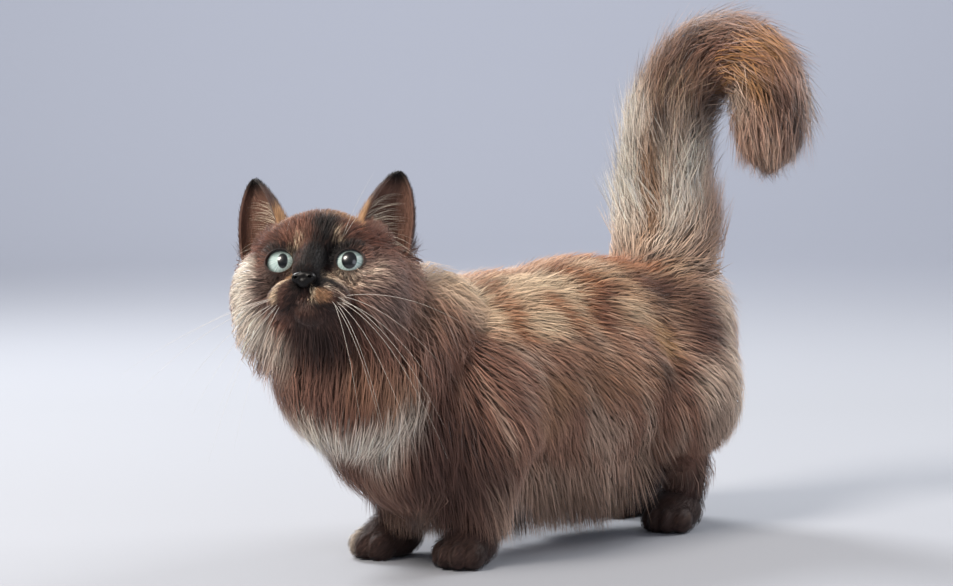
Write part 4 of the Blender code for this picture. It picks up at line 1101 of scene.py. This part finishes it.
def make_nose():
    """The bare nose: broad above, with a nostril each side and a narrow foot towards the lip."""
    wings = [ball((side * 0.0042, 0, 0.0002), (0.0038, 0.0046, 0.0036), 0) for side in SIDES]
    bridge = ball((0, 0.0008, 0.0016), (0.0074, 0.0052, 0.0036), 0)
    tip = ball((0, 0.0002, -0.0022), (0.0044, 0.004, 0.0036), 0)
    nose = melt("nose_leather", [*wings, bridge, tip], NOSE_VOXEL, NOSE_ROUNDS)
    nostril = (0.0015, 0.0024, 0.001)
    nostrils = [ball((side * 0.0046, -0.0044, -0.0002), nostril, 0, rings=10) for side in SIDES]
    combine(nose, nostrils, "DIFFERENCE")
    size = Matrix.Diagonal(Vector((*NOSE_SIZE, 1)))
    nose.data.transform(HEAD @ Matrix.Translation(NOSE_CENTRE) @ size)
    nose.data.shade_smooth()
    return nose


def lid_point(side, angle):
    """A point of the edge of an eye opening, in the eye's own frame."""
    wide, high = EYE_HALVES[side]
    x, z = wide * math.cos(angle), high * math.sin(angle)
    return Vector((x, -math.sqrt((EYE_RADIUS + 0.0003) ** 2 - x * x - z * z), z))


def join_rings(form, low, high):
    """Faces between two rings of as many points."""
    for j in range(len(low)):
        k = (j + 1) % len(low)
        form.faces.new((low[j], low[k], high[k], high[j]))


def make_lids(side):
    """The dark rim of an eye opening."""
    place = eye_place(side)
    form = bmesh.new()
    rings = []
    for i in range(LID_TURNS):
        angle = 2 * math.pi * i / LID_TURNS
        here, ahead = lid_point(side, angle), lid_point(side, angle + 0.01)
        out = here.normalized()
        over = (ahead - here).normalized().cross(out)
        turns = [2 * math.pi * j / LID_AROUND for j in range(LID_AROUND)]
        spots = [here + (out * math.cos(turn) + over * math.sin(turn)) * LID_THICK for turn in turns]
        rings.append([form.verts.new(place @ spot) for spot in spots])
    for low, high in zip(rings, rings[1:] + rings[:1]):
        join_rings(form, low, high)
    bmesh.ops.recalc_face_normals(form, faces=form.faces[:])
    return smooth_piece(f"lid_rim_{SIDES[side]}", form)


def tapered(form, points, thick, sides=5):
    """A thin closed round hair along points, from full thickness down to almost nothing."""
    rings = []
    for i, point in enumerate(points):
        ahead = points[min(i + 1, len(points) - 1)] - points[max(i - 1, 0)]
        turn = ahead.to_track_quat("Z", "Y")
        radius = thick * (1 - 0.85 * i / (len(points) - 1))
        angles = [2 * math.pi * j / sides for j in range(sides)]
        round_points = [Vector((math.cos(a) * radius, math.sin(a) * radius, 0)) for a in angles]
        rings.append([form.verts.new(point + turn @ spot) for spot in round_points])
    for low, high in zip(rings, rings[1:]):
        join_rings(form, low, high)
    form.faces.new(rings[0][::-1])
    form.faces.new(rings[-1])


def bowed(start, way, length, bow):
    """Points of a hair that leaves start along way and bends by bow to its tip; its foot is sunk."""
    start = start - way * HAIR_SUNK
    shares = [i / (HAIR_POINTS - 1) for i in range(HAIR_POINTS)]
    return [start + way * length * t + bow * length * t * t for t in shares]


HAIR_SUNK, HAIR_POINTS = 0.003, 15
WHISKER_THICK, BROW_THICK = 0.00011, 0.0001
# Each whisker: row and place along the pad, droop and sweep in degrees, length, and bow down or up.
WHISKERS = {}
WHISKERS[1] = [
    (0, 0.0, -4, 10, 0.084, -0.4), (0, 0.4, 14, 14, 0.07, -0.45), (0, 0.8, 24, 20, 0.085, -0.65),
    (1, 0.0, 20, 8, 0.062, -0.55), (1, 0.3, 26, 12, 0.078, -0.85), (1, 0.6, 34, 18, 0.07, -0.95),
    (1, 0.9, 44, 24, 0.06, -1.0), (2, 0.3, 50, 14, 0.056, -1.0), (2, 0.6, 64, 18, 0.05, -0.9),
]
WHISKERS[-1] = [
    (0, 0.0, 16, 10, 0.092, -0.22), (0, 0.4, 20, 14, 0.09, -0.35), (0, 0.8, 10, 18, 0.062, -0.3),
    (1, 0.0, 26, 8, 0.062, -0.45), (1, 0.4, 34, 14, 0.06, -0.6), (1, 0.8, 44, 20, 0.052, -0.7),
    (2, 0.3, 48, 14, 0.058, -0.9), (2, 0.7, 62, 18, 0.052, -0.8),
]


# Long hairs over each eye: lean outwards in degrees, and length.
BROWS = {1: ((22, 0.05), (34, 0.03)), -1: ((-10, 0.022),)}
BROW_ROOT, BROW_BOW = Vector((-0.004, -0.006, 0.011)), Vector((0.05, 0.1, -0.05))


def make_whiskers(side):
    """The whiskers of a pad and the long hairs over its eye."""
    form = bmesh.new()
    turn = HEAD.to_3x3()
    for row, place, droop, sweep, length, bow in WHISKERS[side]:
        droop, sweep = math.radians(droop), math.radians(sweep)
        root = Vector((0.011 - 0.007 * place, -0.004 - 0.004 * place, -0.003 - 0.0034 * row))
        way = Vector((math.cos(droop) * math.cos(sweep), -math.sin(sweep), -math.sin(droop)))
        start = HEAD @ on_side(side, PAD_CENTRE + root)
        points = bowed(start, turn @ on_side(side, way), length, Vector((0, 0, bow)))
        tapered(form, points, WHISKER_THICK)
    for lean, length in BROWS[side]:
        start = HEAD @ on_side(side, EYE_CENTRE + BROW_ROOT)
        way = on_side(side, Vector((math.sin(math.radians(lean)), -0.2, 1)).normalized())
        tapered(form, bowed(start, turn @ way, length, BROW_BOW), BROW_THICK)
    return smooth_piece(f"whiskers_{SIDES[side]}", form)


def curved(start, middle, end, steps=9):
    """Points of a smooth bow from start to end that leans towards middle."""
    shares = [i / (steps - 1) for i in range(steps)]
    return [start.lerp(middle, u).lerp(middle.lerp(end, u), u) for u in shares]


EAR_HAIRS = 126


def make_ear_hair(side):
    """Long pale hairs that fan from the inner foot of an ear, up its cup and past its outer edge."""
    form = bmesh.new()
    out, ahead, above = (HEAD.to_3x3() @ Vector(way) for way in ((side, 0, 0), (0, -1, 0), (0, 0, 1)))
    for number in range(EAR_HAIRS):
        long = number % 3 == 0
        t = rng.uniform(-0.08, 0.12 if long else 0.46)
        start = ear_point(side, t, rng.uniform(140, 200), 0.92)
        if long:
            end = ear_point(side, rng.uniform(-0.22, 0.1), -28, 1.0) + out * rng.uniform(0.0, 0.007)
            end += above * rng.uniform(-0.01, 0.002)
            lean = above * rng.uniform(0.007, 0.013) + ahead * rng.uniform(0.004, 0.008)
            middle = start.lerp(end, 0.55) + lean
        else:
            end = ear_point(side, t + rng.uniform(0.14, 0.36), rng.uniform(0, 90), rng.uniform(0.6, 0.9))
            lean = above * rng.uniform(0.003, 0.007) + ahead * rng.uniform(0.002, 0.006)
            middle = start.lerp(end, 0.5) + lean
        tapered(form, curved(start, middle, end), rng.uniform(0.00011, 0.00018), 3)
    return smooth_piece(f"ear_hair_{SIDES[side]}", form)


# The floor: radius of its flat and of its rise, its sides, and the steps of its rise in degrees.
FLOOR_FLAT, FLOOR_RISE = 3.2, 3.0
FLOOR_SIDES, FLOOR_STEPS, FLOOR_BEND = 96, 14, 6


def make_floor():
    """A pale floor that rises like a bowl far away on every side, so that no edge or corner shows."""
    bpy.ops.object.select_all(action="DESELECT")
    bpy.ops.mesh.primitive_circle_add(vertices=FLOOR_SIDES, radius=FLOOR_FLAT, fill_type="TRIFAN")
    floor = bpy.context.object
    floor.name = "studio_floor"
    bpy.ops.object.mode_set(mode="EDIT")
    bpy.ops.mesh.select_all(action="SELECT")
    bpy.ops.mesh.region_to_loop()
    reach, height = FLOOR_FLAT, 0.0
    for step in range(1, FLOOR_STEPS + 1):
        angle = math.radians(FLOOR_BEND * step)
        wider = FLOOR_FLAT + FLOOR_RISE * math.sin(angle)
        higher = FLOOR_RISE * (1 - math.cos(angle))
        bpy.ops.mesh.extrude_edges_move(TRANSFORM_OT_translate={"value": (0, 0, higher - height)})
        bpy.ops.transform.resize(value=(wider / reach, wider / reach, 1), center_override=(0, 0, 0))
        reach, height = wider, higher
    bpy.ops.mesh.select_all(action="SELECT")
    bpy.ops.mesh.normals_make_consistent(inside=False)
    bpy.ops.object.mode_set(mode="OBJECT")
    if floor.data.polygons[0].normal.z < 0:
        floor.data.flip_normals()
    floor.data.shade_smooth()
    # Matt paper: no shine, with a fibre that is just seen.
    dress(floor, plain_material("matt pale paper", "#A0A3AA", 0.85, 0.0, 0.002, 0.00005, 0.01))
    return floor


def area_light(name, place, target, size, power, colour):
    """A round soft light that points at a target."""
    light = bpy.data.lights.new(name, "AREA")
    light.shape = "DISK"
    light.size = size
    light.energy = power
    light.color = linear(colour)
    lamp = new_object(name, light)
    lamp.location = place
    lamp.rotation_mode = "QUATERNION"
    lamp.rotation_quaternion = (Vector(target) - Vector(place)).to_track_quat("-Z", "Y")


def keep_above(paths, low):
    """Shortens the tufts that would hang below a height."""
    root, tip = paths[:, 0, 2], paths[:, -1, 2]
    share = np.where(tip < low, (root - low) / np.maximum(root - tip, 1e-5), 1.0)
    return paths[:, :1] + (paths - paths[:, :1]) * np.clip(share, 0.12, 1.0)[:, None, None]


def clear_of_eyes(paths):
    """Which tufts keep out of the eye openings."""
    clear = np.ones(len(paths), bool)
    for side in SIDES:
        place = eye_place(side)
        local = (paths - np.array(place.translation)) @ np.array(place.to_3x3())
        wide, high = EYE_HALVES[side]
        inside = (local[..., 0] / wide) ** 2 + (local[..., 2] / high) ** 2 < 1.0
        clear &= ~np.any(inside & (local[..., 1] < 0), axis=1)
    return clear


# Each part of the coat: zones of the skin, slot, count of bent and of fine straight tufts, how strongly
# and how many tufts draw together, and how much the tone of a tuft, the tone of a wisp and its rise vary.
COATS = [
    ("body", ("torso", "neck"), "body_coat", 42000, 94000, (0.24, 14), 0.15, 0.18, 0.13),
    ("head", ("head",), "face_coat", 14000, 52000, (0.34, 9), 0.25, 0.32, 0.15),
    ("ear", ("ear",), "face_coat", 500, 10000, (0.1, 6), 0.25, 0.2, 0.1),
    ("tail", ("tail",), "tail_coat", 13000, 22000, (0.52, 28), 0.14, 0.2, 0.34),
    ("leg", ("leg", "paw"), "leg_coat", 4500, 8000, (0.25, 8), 0.3, 0.2, 0.12),
]
# Finish of each: name, roughness and pale rim. Longer hair lies smoother and catches more light at its edge.
FUR = {
    "skin": ("skin under the coat", 0.7, 0.1),
    "body": ("semi-long body fur", 0.55, 0.2),
    "head": ("short face fur", 0.6, 0.15),
    "tail": ("long tail plume", 0.55, 0.2),
    "ear": ("thin ear fur", 0.6, 0.1),
    "leg": ("short leg fur", 0.6, 0.1),
}
# The last of these darkens the skin's colours, as painted shade deep under the tufts.
QUICK_SHARE, UNDER_SHARE, BELLY_FULLER, SKIN_PAINTED_SHADE = 0.3, 0.4, 1.6, 0.82
# How unevenly the fringe ends, how far colours stray over an edge, and how high the ears' fur grows.
FRINGE, EDGE_JITTER, EAR_TOP = 0.009, 0.0008, 1.02
# Each kind of tuft: the stops of its path, most tufts in a piece, and its width.
KINDS = {"fur": ([0, 1, 2], 19500, 1.0), "hair": ([0, 2], 48000, 0.62)}


def grow_coat(name, zones, slot, bent, fine, wisp, spread, patchy, stray, skin, surface):
    """The tufts of one part of the coat, in pieces that are small enough to keep every triangle."""
    scale = 1.0
    count = int((bent + fine) * scale)
    thin = np.arange(count) >= int(bent * scale)
    roots, normals, uv = sample_roots(skin, count, [ZONES.index(zone) for zone in zones])
    shares = zone_shares(roots)
    length, width, lift, hang = coat_sizes(roots, shares)
    under = rng.random(count) < UNDER_SHARE
    lift = lift * np.where(under, rng.uniform(0.25, 0.7, count), rng.uniform(0.75, 1.05, count))
    length = length * rng.uniform(0.75, 1.2, count)
    paths, facings = tuft_paths(surface, roots, normals, (length, width, lift, hang), STOPS)
    paths, own = clump(paths, *wisp)
    if slot == "body_coat":
        paths = keep_above(paths, coat_floor(roots) + rng.uniform(0, FRINGE, count)[own])
    rise = rng.uniform(-stray, stray, count)[own] * lift
    paths[:, 2] += facings[:, 2] * rise[:, None]
    tone = np.exp(rng.normal(0, spread, count)) * rng.uniform(1 - patchy, 1 + patchy, count)[own]
    chance = 0.75 * rng.random(count)[own] + 0.25 * rng.random(count)
    jitter = rng.normal(0, EDGE_JITTER, (count, 3))
    low, high = (markings(paths[:, k] + jitter, shares, chance) * tone[:, None] for k in (1, 2))
    tints = np.stack([low, low * 0.4 + high * 0.6, high], axis=1)
    clear = clear_of_eyes(paths)
    if name == "ear":
        clear &= ear_place(paths[:, -1])[0] < EAR_TOP
    look = fur_material(*FUR[name])
    pieces = []
    for kind, chosen in (("fur", clear & ~thin), ("hair", clear & thin)):
        kept = np.flatnonzero(chosen)
        stops, most, size = KINDS[kind]
        for number, start in enumerate(range(0, len(kept), most)):
            part = kept[start : start + most]
            ways, faces = paths[part][:, stops], facings[part][:, stops]
            title = f"{name}_{kind}_{number + 1}"
            piece = build_tufts(title, ways, faces, width[part] * size, uv[part], tints[part][:, stops])
            dress(piece, look)
            pieces.append((piece, slot))
    return pieces


def make_small_pieces():
    """Eyes, lid rims, whiskers, ear hair and nose, each with its slot."""
    # Lid rims are bare wet skin: dark, with small sharp lights. Whiskers and ear hair are stiff and pale.
    lid_look = plain_material("moist dark lid rim", "#150F0E", 0.35, 0.3, 0.0003, 0.00003)
    whisker_look = plain_material("pale stiff whisker", "#E2DACE", 0.4, 0, 0.002, 0, 0.1)
    ear_hair_look = plain_material("fine pale ear hair", "#E0D0BA", 0.5, 0, 0.003, 0, 0.25)
    # Nose leather is pebbled, and its lights are broad and low.
    leather = plain_material("moist nose leather", "#0C0A0A", 0.42, 0.0, 0.0006, 0.0001, 0.2, 0.22)
    pieces = []
    for side in SIDES:
        eye = make_eye(side)
        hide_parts(f"eye_{SIDES[side]}")
        eye_look = eye_material(f"wet eye {SIDES[side]}", *PUPILS[side])
        pieces += [(eye, eye_look, "eye"), (make_lids(side), lid_look, "nose_leather")]
    for side in SIDES:
        pieces.append((make_whiskers(side), whisker_look, "face_coat"))
        pieces.append((make_ear_hair(side), ear_hair_look, "face_coat"))
    nose = make_nose()
    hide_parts("nose")
    pieces.append((nose, leather, "nose_leather"))
    for piece, look, _ in pieces:
        dress(piece, look)
    return [(piece, slot) for piece, _, slot in pieces]


# Studio lights: name, place, what it points at, width, power in watts and colour.
CAT_MIDDLE = (0, 0, 0.15)
LIGHTS = [
    ("key", (-0.05, -1.6, 1.75), CAT_MIDDLE, 0.9, 60, "#FFF6EC"),
    ("fill", (2.3, -0.4, 0.8), CAT_MIDDLE, 1.4, 12, "#EEF2FF"),
    ("back left", (-1.5, 0.3, 1.5), CAT_MIDDLE, 0.8, 40, "#FFFFFF"),
    ("back right", (0.5, 1.8, 1.5), CAT_MIDDLE, 0.8, 30, "#FFFFFF"),
    ("backdrop", (-1.6, 1.6, 3.4), (-4.6, 4.6, 1.6), 2.0, 190, "#F2F4FF"),
]
SKY, SKY_STRENGTH = "#E4E8F0", 0.32
# The camera, at the photograph's viewing angle: its place in the source's coordinates, its turn and dip in
# degrees, and its focal length as a share of the picture's width.
CAMERA_PLACE = Vector((1.1483, -1.2171, 0.287))
CAMERA_TURN, CAMERA_DIP = 45, 4.2
SENSOR, FOCAL_SHARE = 36, 2541 / 953


def set_studio(shift):
    """Floor, lights, sky and camera."""
    make_floor()
    for light in LIGHTS:
        area_light(*light)
    world = bpy.data.worlds.new("studio")
    bpy.context.scene.world = world
    world.use_nodes = True
    sky = world.node_tree.nodes["Background"]
    sky.inputs[0].default_value = (*linear(SKY), 1)
    sky.inputs[1].default_value = SKY_STRENGTH
    bpy.context.scene.view_settings.view_transform = "Standard"
    lens = bpy.data.cameras.new("camera")
    lens.sensor_width = SENSOR
    lens.lens = FOCAL_SHARE * SENSOR
    lens.clip_start = 0.05
    camera = new_object("camera", lens)
    camera.location = CAMERA_PLACE + shift
    azimuth, pitch = math.radians(CAMERA_TURN), math.radians(CAMERA_DIP)
    way = Vector((-math.sin(azimuth), math.cos(azimuth), -math.tan(pitch)))
    camera.rotation_mode = "QUATERNION"
    camera.rotation_quaternion = way.to_track_quat("-Z", "Y")
    bpy.context.scene.camera = camera


def main():
    skin = make_skin()
    unwrap(skin)
    surface = BVHTree.FromObject(skin, bpy.context.evaluated_depsgraph_get())
    spots = rows_of(skin.data.vertices, "co", 3)
    # The skin wears the coat's markings, darkened as painted shade under the tufts.
    paint(skin.data, markings(spots, zone_shares(spots), rng.random(len(spots))) * SKIN_PAINTED_SHADE)
    skin.data.shade_smooth()
    dress(skin, fur_material(*FUR["skin"]))
    pieces = []
    for coat in COATS:
        pieces += grow_coat(*coat, skin, surface)
    pieces += make_small_pieces()
    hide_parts(*FLESH)
    pieces.append((skin, "body_coat"))

    low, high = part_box("eye_left")
    shift = (low + high) / 2 - HEAD @ EYE_CENTRE
    for piece, slot in pieces:
        piece.data.transform(Matrix.Translation(shift))
        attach(piece, "root")
    set_studio(shift)


main()
